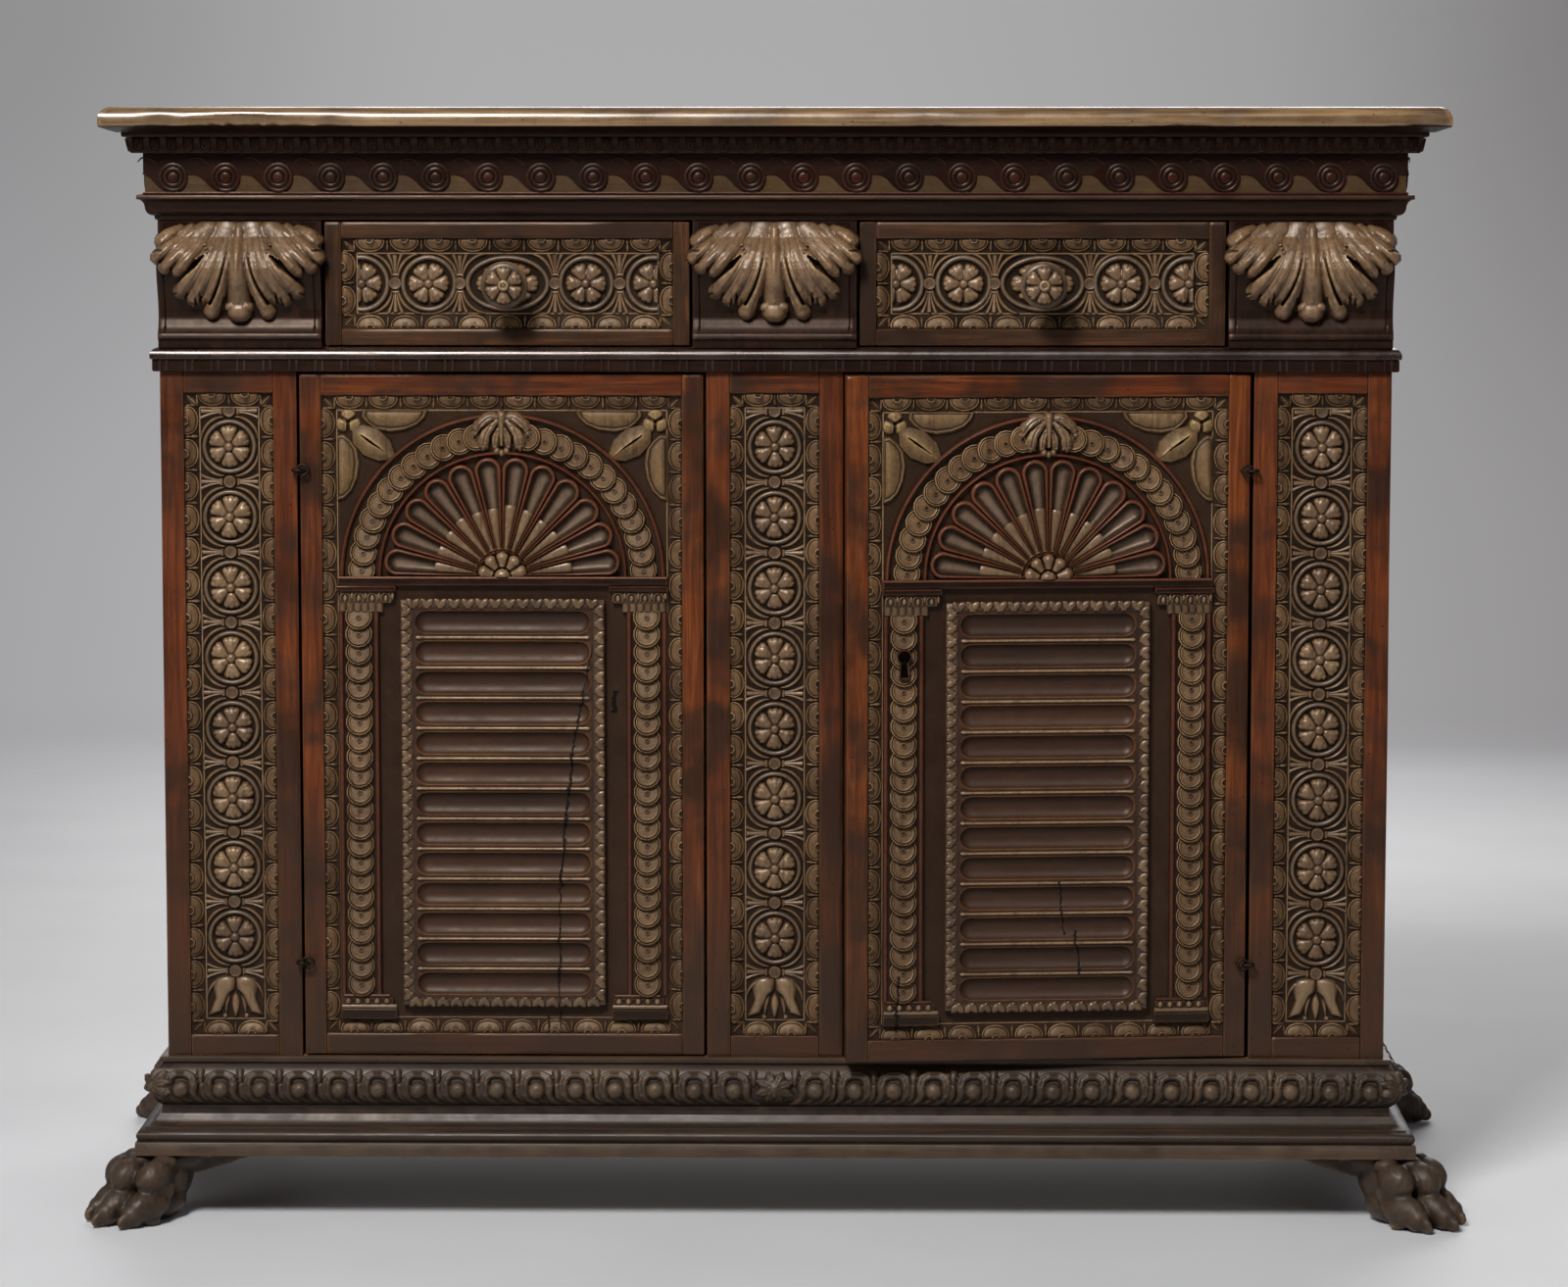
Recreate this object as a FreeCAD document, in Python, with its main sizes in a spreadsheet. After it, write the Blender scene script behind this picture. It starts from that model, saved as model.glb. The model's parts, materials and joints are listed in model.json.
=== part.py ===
import FreeCAD, Part
import math
import os
import Sketcher

# A carved walnut credenza. Millimetres and degrees, +Z up, the front faces -Y,
# and the origin is the middle of the footprint on the floor.

sizes = {
    # case
    "carcass_width": 1190,
    "carcass_depth": 490,
    "frame_thickness": 25,
    "side_thickness": 25,
    "back_thickness": 18,
    "floor_thickness": 16,
    "dust_board_thickness": 16,
    "shelf_thickness": 18,
    "shelf_rise": 325,
    "shelf_setback": 80,
    "batten_size": 20,
    # heights of the storeys, from the floor up
    "foot_height": 66,
    "plinth_height": 38,
    "cove_height": 8,
    "torus_height": 48,
    "door_bay_height": 671,
    "string_height": 23,
    "drawer_bay_height": 123,
    "cyma_height": 24,
    "frieze_height": 40,
    "tongue_height": 20,
    "top_thickness": 24,
    # how far each moulding stands out from the case
    "plinth_projection": 30,
    "cove_projection": 6,
    "torus_projection": 19,
    "string_projection": 11,
    "dentil_projection": 8,
    "cyma_projection": 18,
    "frieze_projection": 11,
    "tongue_projection": 30,
    "top_overhang": 50,
    "top_round": 12,
    "top_bevel_drop": 6,
    "top_bevel_run": 16,
    # joined frames and their panels
    "pilaster_width": 132.5,
    "pilaster_stile": 23,
    "front_rail": 21,
    "side_stile": 60,
    "side_low_rail": 60,
    "groove_setback": 12,
    "groove_width": 6,
    "groove_depth": 6,
    "tenon_length": 15,
    "panel_play": 0.5,
    "border_setback": 1,
    "border_lip": 1,
    "border_width": 14,
    "panel_recess": 8,
    "panel_thickness": 12,
    # doors
    "door_gap": 2.6,
    "door_head_gap": 2.5,
    "door_foot_gap": 2,
    "door_proud": 0.5,
    "door_stile": 21,
    "door_ajar": 5.5,
    "stop_lap": 10,
    "stop_thickness": 12,
    # portal carved on each door
    "impost_height": 9,
    "impost_relief": 8,
    "arch_side_gap": 4.5,
    "arch_head_gap": 5.5,
    "arch_band": 38,
    "arch_relief": 6,
    "shell_gap": 3,
    "shell_relief": 3,
    "boss_radius": 28,
    "boss_relief": 6,
    "column_width": 40,
    "column_relief": 5,
    "capital_width": 55,
    "capital_height": 26,
    "capital_relief": 8,
    "column_base_height": 25,
    "fluted_side_gap": 6.5,
    "fluted_foot_gap": 14,
    "fluted_head_gap": 14,
    "fluted_relief": 9,
    "flute_end_margin": 11,
    "flute_row_margin": 22.6,
    "flute_ridge": 8.4,
    "flute_depth": 5,
    "flute_count": 13,
    # ring hinges
    "hinge_wire": 1.5,
    "hinge_shank_wire": 1.3,
    "hinge_ring": 5,
    "hinge_stand_off": 7.5,
    "hinge_shank": 18,
    "hinge_clearance": 0.4,
    "hinge_low_rise": 92,
    "hinge_head_drop": 92.5,
    # lock on the right door
    "lock_length": 100,
    "lock_height": 80,
    "lock_depth": 16,
    "lock_wall": 2,
    "lock_edge_gap": 3,
    "lock_drop": 65,
    "bolt_length": 78,
    "bolt_height": 14,
    "bolt_thickness": 8,
    "bolt_throw": 10,
    "bolt_clearance": 0.5,
    "keyhole_inset": 54,
    "keyhole_radius": 5,
    "keyhole_slot_width": 6,
    "keyhole_slot_length": 20,
    # drawers
    "console_width": 158,
    "drawer_side_gap": 3,
    "drawer_head_gap": 2,
    "drawer_foot_gap": 2,
    "drawer_frame": 16,
    "drawer_box_inset": 6,
    "drawer_back_gap": 47,
    "drawer_box_height": 95,
    "drawer_wall": 12,
    "drawer_bottom_thickness": 8,
    "drawer_bottom_rise": 5,
    "guide_size": 16,
    "guide_clearance": 1,
    "kicker_size": 18,
    "kicker_clearance": 2,
    "divider_thickness": 24,
    "knob_radius": 25.5,
    "knob_reach": 67,
    "knob_neck_radius": 9,
    "knob_collar_radius": 17,
    "knob_collar_height": 6,
    "knob_shank_radius": 8,
    "knob_clearance": 0.3,
    # consoles
    "console_foot": 9,
    "console_bulge": 15,
    "console_leaf_width": 144,
    "console_leaf_height": 92,
    "console_leaf_reach": 27,
    # base and feet
    "corner_block": 60,
    "tenon_radius": 12,
    "tenon_height": 36,
    "tenon_clearance": 0.3,
    "paw_length": 94,
    "paw_half_width": 33,
    "toe_pitch": 17,
    "toe_radius": 11,
    "toe_reach": 22,
    "outer_toe_setback": 15,
    "front_foot_turn": 45,
    "front_foot_inset": 8,
    "rear_foot_turn": 28,
    "rear_foot_inset": 20,
    "rear_foot_shift": 16,
    "foot_neck": 85,
    "foot_neck_lap": 20,
    "foot_wing_length": 92,
    "foot_wing_drop": 26,
    "foot_wing_thickness": 40,
}

doc = FreeCAD.newDocument("credenza")
sheet = doc.addObject("Spreadsheet::Sheet", "dims")
for row, (alias, number) in enumerate(sizes.items(), start=1):
    sheet.set(f"A{row}", alias)
    sheet.set(f"B{row}", str(number))
    sheet.setAlias(f"B{row}", alias)
doc.recompute()


class Dim:
    # A size: its value now, and the formula that ties it to the sheet.
    def __init__(self, value, text):
        self.value = value
        self.text = text

    def __add__(self, other):
        other = dim(other)
        return Dim(self.value + other.value, f"({self.text} + {other.text})")

    def __sub__(self, other):
        other = dim(other)
        return Dim(self.value - other.value, f"({self.text} - {other.text})")

    def __mul__(self, other):
        other = dim(other)
        return Dim(self.value * other.value, f"({self.text} * {other.text})")

    def __truediv__(self, other):
        other = dim(other)
        return Dim(self.value / other.value, f"({self.text} / {other.text})")

    def __radd__(self, other):
        return dim(other) + self

    def __rsub__(self, other):
        return dim(other) - self

    def __rmul__(self, other):
        return dim(other) * self

    def __neg__(self):
        return dim(0) - self


def dim(number):
    if isinstance(number, Dim):
        return number
    return Dim(float(number), repr(float(number)))


def root(size):
    return Dim(math.sqrt(size.value), f"sqrt({size.text})")


def sine(angle):
    return Dim(math.sin(math.radians(angle.value)), f"sin({angle.text})")


def cosine(angle):
    return Dim(math.cos(math.radians(angle.value)), f"cos({angle.text})")


def greater(one, other):
    return Dim(max(one.value, other.value), f"max({one.text}; {other.text})")


class Sheet:
    # Each cell of the sheet by its alias.
    def __getattr__(self, alias):
        return Dim(float(sheet.get(alias)), f"dims.{alias}")


s = Sheet()
vector = FreeCAD.Vector
up = vector(0, 0, 1)
nodes = []


def bind(item, names, values):
    for name, value in zip(names, values):
        item.setExpression(name, dim(value).text)


def place(item, at, turn=None):
    bind(item, ("Placement.Base.x", "Placement.Base.y", "Placement.Base.z"), at)
    if turn is not None:
        bind(item, ("Placement.Rotation.Angle",), (turn,))
    return item


def turned(item, rotation):
    item.Placement = FreeCAD.Placement(vector(), rotation)
    return item


def block(name, at, extent):
    item = doc.addObject("Part::Box", name)
    bind(item, ("Length", "Width", "Height"), extent)
    return place(item, at)


def rod(name, at, radius, length, axis=up):
    item = turned(doc.addObject("Part::Cylinder", name), FreeCAD.Rotation(up, axis))
    bind(item, ("Radius", "Height"), (radius, length))
    return place(item, at)


def egg(name, at, radii):
    item = doc.addObject("Part::Ellipsoid", name)
    item.Angle1 = -90
    item.Angle2 = 90
    bind(item, ("Radius2", "Radius3", "Radius1"), radii)
    return place(item, at)


def fuse(name, shapes):
    item = doc.addObject("Part::MultiFuse", name)
    item.Shapes = shapes
    return item


def cut(name, base, tools):
    item = doc.addObject("Part::Cut", name)
    item.Base = base
    item.Tool = tools[0] if len(tools) == 1 else fuse(f"{name}_tools", tools)
    return item


def common(name, shapes):
    item = doc.addObject("Part::MultiCommon", name)
    item.Shapes = shapes
    return item


def node(name, shapes):
    item = doc.addObject("Part::Compound", name)
    item.Links = shapes
    nodes.append(item)
    return item


def outline(sketch, points):
    # A closed outline. Each point is across, up and the bulge of the edge that leaves it:
    # the tangent of a quarter of the arc's angle, above zero where it bends to the left.
    corners = [(dim(p[0]), dim(p[1]), p[2] if len(p) > 2 else 0) for p in points]
    ends = []
    for index, (x, y, bulge) in enumerate(corners):
        next_x, next_y, _ = corners[(index + 1) % len(corners)]
        start = vector(x.value, y.value, 0)
        end = vector(next_x.value, next_y.value, 0)
        if bulge == 0:
            sketch.addGeometry(Part.LineSegment(start, end))
            ends.append((1, 2))
            continue
        run = end - start
        middle = (start + end) / 2 + vector(-run.y, run.x, 0) * (-bulge / 2)
        leftward = bulge > 0
        sketch.addGeometry(Part.Arc(start, middle, end) if leftward else Part.Arc(end, middle, start))
        ends.append((1, 2) if leftward else (2, 1))
        chord = root((next_x - x) * (next_x - x) + (next_y - y) * (next_y - y))
        radius = chord * ((1 + bulge * bulge) / (4 * abs(bulge)))
        row = sketch.addConstraint(Sketcher.Constraint("Radius", index, radius.value))
        sketch.setExpression(f"Constraints[{row}]", radius.text)
    for index, (x, y, _) in enumerate(corners):
        last = (index - 1) % len(corners)
        sketch.addConstraint(Sketcher.Constraint("Coincident", last, ends[last][1], index, ends[index][0]))
        for kind, size in (("DistanceX", x), ("DistanceY", y)):
            row = sketch.addConstraint(Sketcher.Constraint(kind, -1, 1, index, ends[index][0], size.value))
            sketch.setExpression(f"Constraints[{row}]", size.text)
    return sketch


# The way an outline looks: its across and up directions, and the way it is drawn out.
front_profile = FreeCAD.Rotation(vector(0, -1, 0), up, vector(-1, 0, 0), "XYZ")
left_profile = FreeCAD.Rotation(vector(-1, 0, 0), up, vector(0, 1, 0), "XYZ")
right_profile = FreeCAD.Rotation(vector(1, 0, 0), up, vector(0, -1, 0), "XYZ")
elevation = right_profile


def drawn(name, points, facing, at, length):
    sketch = turned(doc.addObject("Sketcher::SketchObject", f"{name}_outline"), facing)
    place(outline(sketch, points), at)
    item = doc.addObject("Part::Extrusion", name)
    item.Base = sketch
    item.DirMode = "Normal"
    item.Solid = True
    bind(item, ("LengthFwd",), (length,))
    return item


def body_sketch(body, name, role, points):
    sketch = body.newObject("Sketcher::SketchObject", f"{body.Name}_{name}")
    plane = [item for item in body.Origin.OriginFeatures if item.Role == role][0]
    sketch.AttachmentSupport = [(plane, "")]
    sketch.MapMode = "FlatFace"
    outline(sketch, points)
    doc.recompute()
    return sketch


def feature(body, kind, name, profile, **links):
    item = body.newObject(f"PartDesign::{kind}", f"{body.Name}_{name}")
    if profile is not None:
        item.Profile = profile
    for link, value in links.items():
        setattr(item, link, value)
    return item


# Levels, and the planes of the case.
z_plinth = s.foot_height
z_cove = z_plinth + s.plinth_height
z_torus = z_cove + s.cove_height
z_doors = z_torus + s.torus_height
z_string = z_doors + s.door_bay_height
z_drawers = z_string + s.string_height
z_cyma = z_drawers + s.drawer_bay_height
z_frieze = z_cyma + s.cyma_height
z_tongue = z_frieze + s.frieze_height
z_top = z_tongue + s.tongue_height

half_width = s.carcass_width / 2
inner_half = half_width - s.side_thickness
inner_width = inner_half * 2

# The origin is midway between the foremost toe and the rearmost one.
diagonal = math.sqrt(0.5)
toe_front = s.paw_length - s.toe_reach


def toe_reach(turn, index, setback):
    # How far one toe reaches beside the line that its paw is turned from.
    along = sine(turn) * (toe_front - setback)
    across = cosine(turn) * s.toe_pitch * (index - 1.5)
    long_part = sine(turn) * s.toe_reach
    wide_part = cosine(turn) * s.toe_radius
    return along + across + root(long_part * long_part + wide_part * wide_part)


def paw_reach(turn):
    return greater(toe_reach(turn, 2, dim(0)), toe_reach(turn, 3, s.outer_toe_setback))


front_reach = paw_reach(s.front_foot_turn) - s.front_foot_inset
rear_reach = paw_reach(s.rear_foot_turn) - s.rear_foot_inset
front = (front_reach - s.carcass_depth - rear_reach) / 2
back = front + s.carcass_depth
behind_frames = front + s.frame_thickness
before_back = back - s.back_thickness
inner_depth = before_back - behind_frames


# Mouldings run along the front and return along both sides, mitred at the corners.
def mitre(name, corner, z, height, reach, turn, shift):
    # A block whose face lies in the mitre plane through a front corner of the case.
    item = turned(doc.addObject("Part::Box", name), FreeCAD.Rotation(up, turn))
    bind(item, ("Length", "Width", "Height"), (reach * 6, reach * 3, height + 2))
    side = 1 if turn > 0 else -1
    x = corner - reach * 2 * diagonal - shift * reach * 3 * diagonal * side
    y = front - reach * 2 * diagonal * side + shift * reach * 3 * diagonal
    return place(item, (x, y, z - 1))


def moulding(name, z, height, reach, points):
    run = s.carcass_width + 2 * reach
    length = s.carcass_depth + reach
    along = drawn(f"{name}_front_run", points, front_profile, (half_width + reach, front, z), run)
    left = drawn(f"{name}_left_run", points, left_profile, (-half_width, front - reach, z), length)
    right = drawn(f"{name}_right_run", points, right_profile, (half_width, back, z), length)
    ends = [
        mitre(f"{name}_left_end", -half_width, z, height, reach, 45, 0),
        mitre(f"{name}_right_end", half_width, z, height, reach, -45, 0),
    ]
    left_end = mitre(f"{name}_left_mitre", -half_width, z, height, reach, 45, -1)
    right_end = mitre(f"{name}_right_mitre", half_width, z, height, reach, -45, -1)
    return node(name, [
        cut(f"{name}_front", along, ends),
        cut(f"{name}_left", left, [left_end]),
        cut(f"{name}_right", right, [right_end]),
    ])


def rectangle(width, height):
    return [(0, 0), (width, 0), (width, height), (0, height)]


round_out = 0.62
soft_out = 0.4
soft_in = -0.4

moulding("plinth_moulding", z_plinth, s.plinth_height + s.cove_height, s.plinth_projection, [
    (0, 0),
    (s.plinth_projection, 0),
    (s.plinth_projection, s.plinth_height * 0.34),
    (s.plinth_projection - 5, s.plinth_height * 0.36, round_out),
    (s.plinth_projection - 7, s.plinth_height * 0.66),
    (s.plinth_projection - 9, s.plinth_height * 0.68, soft_in),
    (s.cove_projection + 2, s.plinth_height),
    (s.cove_projection, s.plinth_height),
    (s.cove_projection, s.plinth_height + s.cove_height),
    (0, s.plinth_height + s.cove_height),
])
torus_foot = s.torus_height * 0.86
moulding("torus_moulding", z_torus, s.torus_height, s.torus_projection, [
    (0, 0),
    (s.cove_projection, 0, 0.68),
    (s.cove_projection, torus_foot),
    (s.cove_projection - 2, torus_foot + 1.5),
    (s.cove_projection + 1, torus_foot + 1.5),
    (s.cove_projection + 1, s.torus_height),
    (0, s.torus_height),
])
moulding("string_moulding", z_string, s.string_height, s.string_projection, [
    (0, 0),
    (s.dentil_projection, 0),
    (s.dentil_projection, s.string_height * 0.52),
    (s.string_projection - 4, s.string_height * 0.56, round_out),
    (s.string_projection - 5, s.string_height),
    (0, s.string_height),
])
moulding("cyma_moulding", z_cyma, s.cyma_height, s.cyma_projection, [
    (0, 0),
    (2, 0),
    (3, s.cyma_height * 0.16, soft_out),
    (s.cyma_projection * 0.6, s.cyma_height * 0.5, soft_in),
    (s.cyma_projection, s.cyma_height * 0.84),
    (s.cyma_projection, s.cyma_height),
    (0, s.cyma_height),
])
moulding("frieze_boards", z_frieze, s.frieze_height, s.frieze_projection,
         rectangle(s.frieze_projection, s.frieze_height))
moulding("tongue_moulding", z_tongue, s.tongue_height, s.tongue_projection, [
    (0, 0),
    (s.tongue_projection - 6, 0, soft_out),
    (s.tongue_projection, s.tongue_height * 0.45),
    (s.tongue_projection, s.tongue_height),
    (0, s.tongue_height),
])

# Top board: rounded over the upper edge and bevelled below, on the three sides that show.
top_half = half_width + s.top_overhang
quarter_turn = math.tan(math.pi / 8)
top_front_edge = [
    (-s.carcass_depth, 0),
    (s.top_overhang - s.top_bevel_run, 0),
    (s.top_overhang, s.top_bevel_drop),
    (s.top_overhang, s.top_thickness - s.top_round, quarter_turn),
    (s.top_overhang - s.top_round, s.top_thickness),
    (-s.carcass_depth, s.top_thickness),
]
top_side_edges = [
    (s.top_bevel_run - top_half, 0),
    (top_half - s.top_bevel_run, 0),
    (top_half, s.top_bevel_drop),
    (top_half, s.top_thickness - s.top_round, quarter_turn),
    (top_half - s.top_round, s.top_thickness),
    (s.top_round - top_half, s.top_thickness, quarter_turn),
    (-top_half, s.top_thickness - s.top_round),
    (-top_half, s.top_bevel_drop),
]
node("top_board", [common("top_board_plank", [
    drawn("top_board_along", top_front_edge, front_profile, (top_half, front, z_top), top_half * 2),
    drawn("top_board_across", top_side_edges, elevation, (0, back, z_top),
          s.carcass_depth + s.top_overhang),
])])

# Plain boards and rails of the case.
node("front_rails", [
    block("cornice_rail", (-half_width, front, z_cyma),
          (s.carcass_width, s.frame_thickness, z_top - z_cyma)),
    block("string_rail", (-half_width, front, z_string),
          (s.carcass_width, s.frame_thickness, s.string_height)),
])
z_dust_board = z_drawers - s.dust_board_thickness
node("dust_board", [block("dust_board_plank", (-inner_half, behind_frames, z_dust_board),
                          (inner_width, inner_depth, s.dust_board_thickness))])
node("cupboard_floor", [block("cupboard_floor_plank", (-half_width, front, z_doors - s.floor_thickness),
                              (s.carcass_width, s.carcass_depth, s.floor_thickness))])
z_shelf = z_doors + s.shelf_rise
shelf_front = front + s.shelf_setback
shelf_depth = before_back - shelf_front
node("shelf", [block("shelf_plank", (-inner_half, shelf_front, z_shelf),
                     (inner_width, shelf_depth, s.shelf_thickness))])
node("shelf_battens", [
    block(f"{side}_shelf_batten", (x, shelf_front, z_shelf - s.batten_size),
          (s.batten_size, shelf_depth, s.batten_size))
    for side, x in (("left", -inner_half), ("right", inner_half - s.batten_size))
])
back_board_count = 4
back_board_width = inner_width / back_board_count
node("back_boards", [
    block(f"back_board_{index + 1}", (back_board_width * index - inner_half, before_back, z_doors),
          (back_board_width, s.back_thickness, z_top - z_doors))
    for index in range(back_board_count)
])
node("drawer_divider", [block("drawer_divider_board", (-s.divider_thickness / 2, behind_frames, z_drawers),
                              (s.divider_thickness, inner_depth, z_top - z_drawers))])

# Base frame, with a block in each corner that takes a foot's tenon.
base_height = z_doors - s.floor_thickness - z_plinth
node("base_frame", [
    block("base_front_rail", (-half_width, front, z_plinth),
          (s.carcass_width, s.frame_thickness, base_height)),
    block("base_back_rail", (-half_width, back - s.frame_thickness, z_plinth),
          (s.carcass_width, s.frame_thickness, base_height)),
    block("base_left_rail", (-half_width, behind_frames, z_plinth),
          (s.side_thickness, s.carcass_depth - 2 * s.frame_thickness, base_height)),
    block("base_right_rail", (inner_half, behind_frames, z_plinth),
          (s.side_thickness, s.carcass_depth - 2 * s.frame_thickness, base_height)),
])
block_half = s.corner_block / 2
corner_blocks = []
corners = {}
for row, y, inward in (("front", behind_frames, 1), ("rear", back - s.frame_thickness, -1)):
    for side, sign in (("left", -1), ("right", 1)):
        x = (inner_half - block_half) * sign
        middle = y + block_half * inward
        wood = block(f"{row}_{side}_corner_wood", (x - block_half, middle - block_half, z_plinth),
                     (s.corner_block, s.corner_block, base_height))
        bore = rod(f"{row}_{side}_corner_bore", (x, middle, z_plinth - 1),
                   s.tenon_radius + s.tenon_clearance, s.tenon_height + 2)
        corner_blocks.append(cut(f"{row}_{side}_corner_block", wood, [bore]))
        corners[(row, side)] = (x, middle, sign, inward)
node("corner_blocks", corner_blocks)


# Lion's paws. Each is carved with its own neck and two wings under the plinth.
def paw(name, at, turn):
    low_z = s.foot_height * 0.2
    high_z = s.foot_height * 0.55
    forms = [
        egg(f"{name}_heel", (s.paw_length * 0.3, 0, s.foot_height * 0.3),
            (s.paw_length * 0.42, s.paw_half_width * 0.92, s.foot_height * 0.42)),
        egg(f"{name}_instep", (s.paw_length * 0.2, 0, s.foot_height * 0.66),
            (s.paw_length * 0.4, s.paw_half_width * 0.85, s.foot_height * 0.44)),
    ]
    for index, setback in enumerate((s.outer_toe_setback, 0, 0, s.outer_toe_setback)):
        y = s.toe_pitch * (index - 1.5)
        forms.append(egg(f"{name}_knuckle_{index + 1}", (toe_front - s.toe_reach - setback, y, high_z),
                         (s.toe_reach * 1.15, s.toe_radius, s.foot_height * 0.38)))
        forms.append(egg(f"{name}_toe_{index + 1}", (toe_front - setback, y, low_z),
                         (s.toe_reach, s.toe_radius, s.foot_height * 0.34)))
    item = turned(fuse(f"{name}_paw", forms), FreeCAD.Rotation(up, 1))
    return place(item, at, turn)


def foot(row, side):
    name = f"{row}_{side}_foot"
    tenon_x, tenon_y, sign, inward = corners[(row, side)]
    edge_x = half_width * sign
    if row == "front":
        edge_y = front
        root_at = (edge_x, front + s.front_foot_inset, 0)
        turn = -s.front_foot_turn if sign > 0 else 180 + s.front_foot_turn
        lap = s.foot_neck_lap
    else:
        edge_y = back
        root_at = (edge_x + s.rear_foot_shift * sign, back - s.rear_foot_inset, 0)
        turn = s.rear_foot_turn if sign > 0 else 180 - s.rear_foot_turn
        lap = dim(0)
    neck = s.foot_neck
    thick = s.foot_wing_thickness
    drop = s.foot_wing_drop
    neck_low = s.foot_height - drop
    neck_x = edge_x - neck if sign > 0 else edge_x - s.foot_neck_lap
    neck_y = edge_y - lap if inward > 0 else edge_y - neck
    forms = [
        paw(name, root_at, turn),
        block(f"{name}_neck", (neck_x, neck_y, neck_low), (neck + s.foot_neck_lap, neck + lap, drop)),
        rod(f"{name}_tenon", (tenon_x, tenon_y, neck_low), s.tenon_radius, drop + s.tenon_height),
    ]
    rightward = [(0, 0), (0, -drop), (s.foot_wing_length, 0)]
    leftward = [(0, 0), (-s.foot_wing_length, 0), (0, -drop)]
    forms.append(drawn(f"{name}_cross_wing", rightward if sign < 0 else leftward, elevation,
                       (edge_x - neck * sign, edge_y + (thick if inward > 0 else 0), s.foot_height), thick))
    forms.append(drawn(f"{name}_side_wing", leftward if inward > 0 else rightward, front_profile,
                       (edge_x + (thick if sign < 0 else 0), edge_y + neck * inward, s.foot_height), thick))
    whole = fuse(f"{name}_whole", forms)
    far = s.carcass_width
    below = block(f"{name}_below", (-far, -far, -s.foot_height), (far * 2, far * 2, s.foot_height))
    above = block(f"{name}_above", (-far, -far, s.foot_height), (far * 2, far * 2, s.foot_height))
    tenon_gap = rod(f"{name}_tenon_gap", (tenon_x, tenon_y, s.foot_height - 1),
                    s.tenon_radius, s.foot_height + 2)
    node(name, [cut(f"{name}_wood", whole, [below, cut(f"{name}_beside_tenon", above, [tenon_gap])])])


for row, side in corners:
    foot(row, side)


# Joined frames: stiles with a groove and open mortises, rails with tenons, a panel held in the groove.
def frame(name, width, height, stile, low_rail, high_rail, bores=None):
    thick = s.frame_thickness
    y = s.groove_setback
    groove = s.groove_width
    depth = s.groove_depth
    tenon = s.tenon_length
    span = width - 2 * stile
    pieces = []
    for side, x, groove_x, mortise_x in (
        ("left", dim(0), stile - depth, stile - tenon),
        ("right", width - stile, width - stile, width - stile),
    ):
        wood = block(f"{name}_{side}_stile_wood", (x, 0, 0), (stile, thick, height))
        hollows = [block(f"{name}_{side}_groove", (groove_x, y, 0), (depth, groove, height))]
        for end, z, rail in (("low", dim(0), low_rail), ("high", height - high_rail + depth, high_rail)):
            hollows.append(block(f"{name}_{side}_{end}_mortise", (mortise_x, y, z),
                                 (tenon, groove, rail - depth)))
        hollows += (bores or {}).get(side, [])
        pieces.append(cut(f"{name}_{side}_stile", wood, hollows))
    for end, z, rail, tenon_z, groove_z in (
        ("low", dim(0), low_rail, dim(0), low_rail - depth),
        ("high", height - high_rail, high_rail, height - high_rail + depth, height - high_rail),
    ):
        wood = block(f"{name}_{end}_rail_wood", (stile, 0, z), (span, thick, rail))
        tenons = block(f"{name}_{end}_tenons", (stile - tenon, y, tenon_z),
                       (span + 2 * tenon, groove, rail - depth))
        joined = fuse(f"{name}_{end}_rail_joined", [wood, tenons])
        hollow = block(f"{name}_{end}_groove", (stile, y, groove_z), (span, groove, depth))
        pieces.append(cut(f"{name}_{end}_rail", joined, [hollow]))
    return node(name, pieces)


def panel(name, width, height, stile, low_rail, high_rail, holes=()):
    play = s.groove_depth - s.panel_play
    span = width - 2 * stile
    rise = height - low_rail - high_rail
    floor = s.panel_recess
    lip = s.border_setback
    tongue = block(f"{name}_tongue", (stile - play, s.groove_setback, low_rail - play),
                   (span + 2 * play, s.groove_width, rise + 2 * play))
    board = block(f"{name}_board", (stile, lip, low_rail), (span, floor + s.panel_thickness - lip, rise))
    recess = doc.addObject("Part::Wedge", f"{name}_recess")
    bind(recess, ("Ymin", "Ymax"), (lip, floor))
    bind(recess, ("Xmin", "Xmax", "Zmin", "Zmax"),
         (stile + s.border_lip, width - stile - s.border_lip,
          low_rail + s.border_lip, height - high_rail - s.border_lip))
    bind(recess, ("X2min", "X2max", "Z2min", "Z2max"),
         (stile + s.border_width, width - stile - s.border_width,
          low_rail + s.border_width, height - high_rail - s.border_width))
    joined = fuse(f"{name}_joined", [board, tongue])
    return node(name, [cut(f"{name}_carved", joined, [recess, *holes])])


# Ring hinges: a ring on the pilaster lies flat around the axis,
# and a ring on the door hangs upright through it.
bay_width = (s.carcass_width - 3 * s.pilaster_width) / 2
door_width = bay_width - 2 * s.door_gap
door_height = s.door_bay_height - s.door_head_gap - s.door_foot_gap
hinge_rises = (s.hinge_low_rise, door_height - s.hinge_head_drop)
door_front = front - s.door_proud
z_door = z_doors + s.door_foot_gap
axis_x = half_width - s.pilaster_width - s.door_gap / 2
axis_y = door_front - s.hinge_stand_off
field_width = door_width - 2 * (s.door_stile + s.border_width)
field_foot = s.front_rail + s.border_width
arch_radius = field_width / 2 - s.arch_side_gap
impost_rise = door_height - field_foot - s.arch_head_gap - arch_radius - s.impost_height
lock_rise = impost_rise - s.lock_drop
hinge_bore = s.hinge_shank_wire + s.hinge_clearance
toward_back = vector(0, 1, 0)


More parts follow.
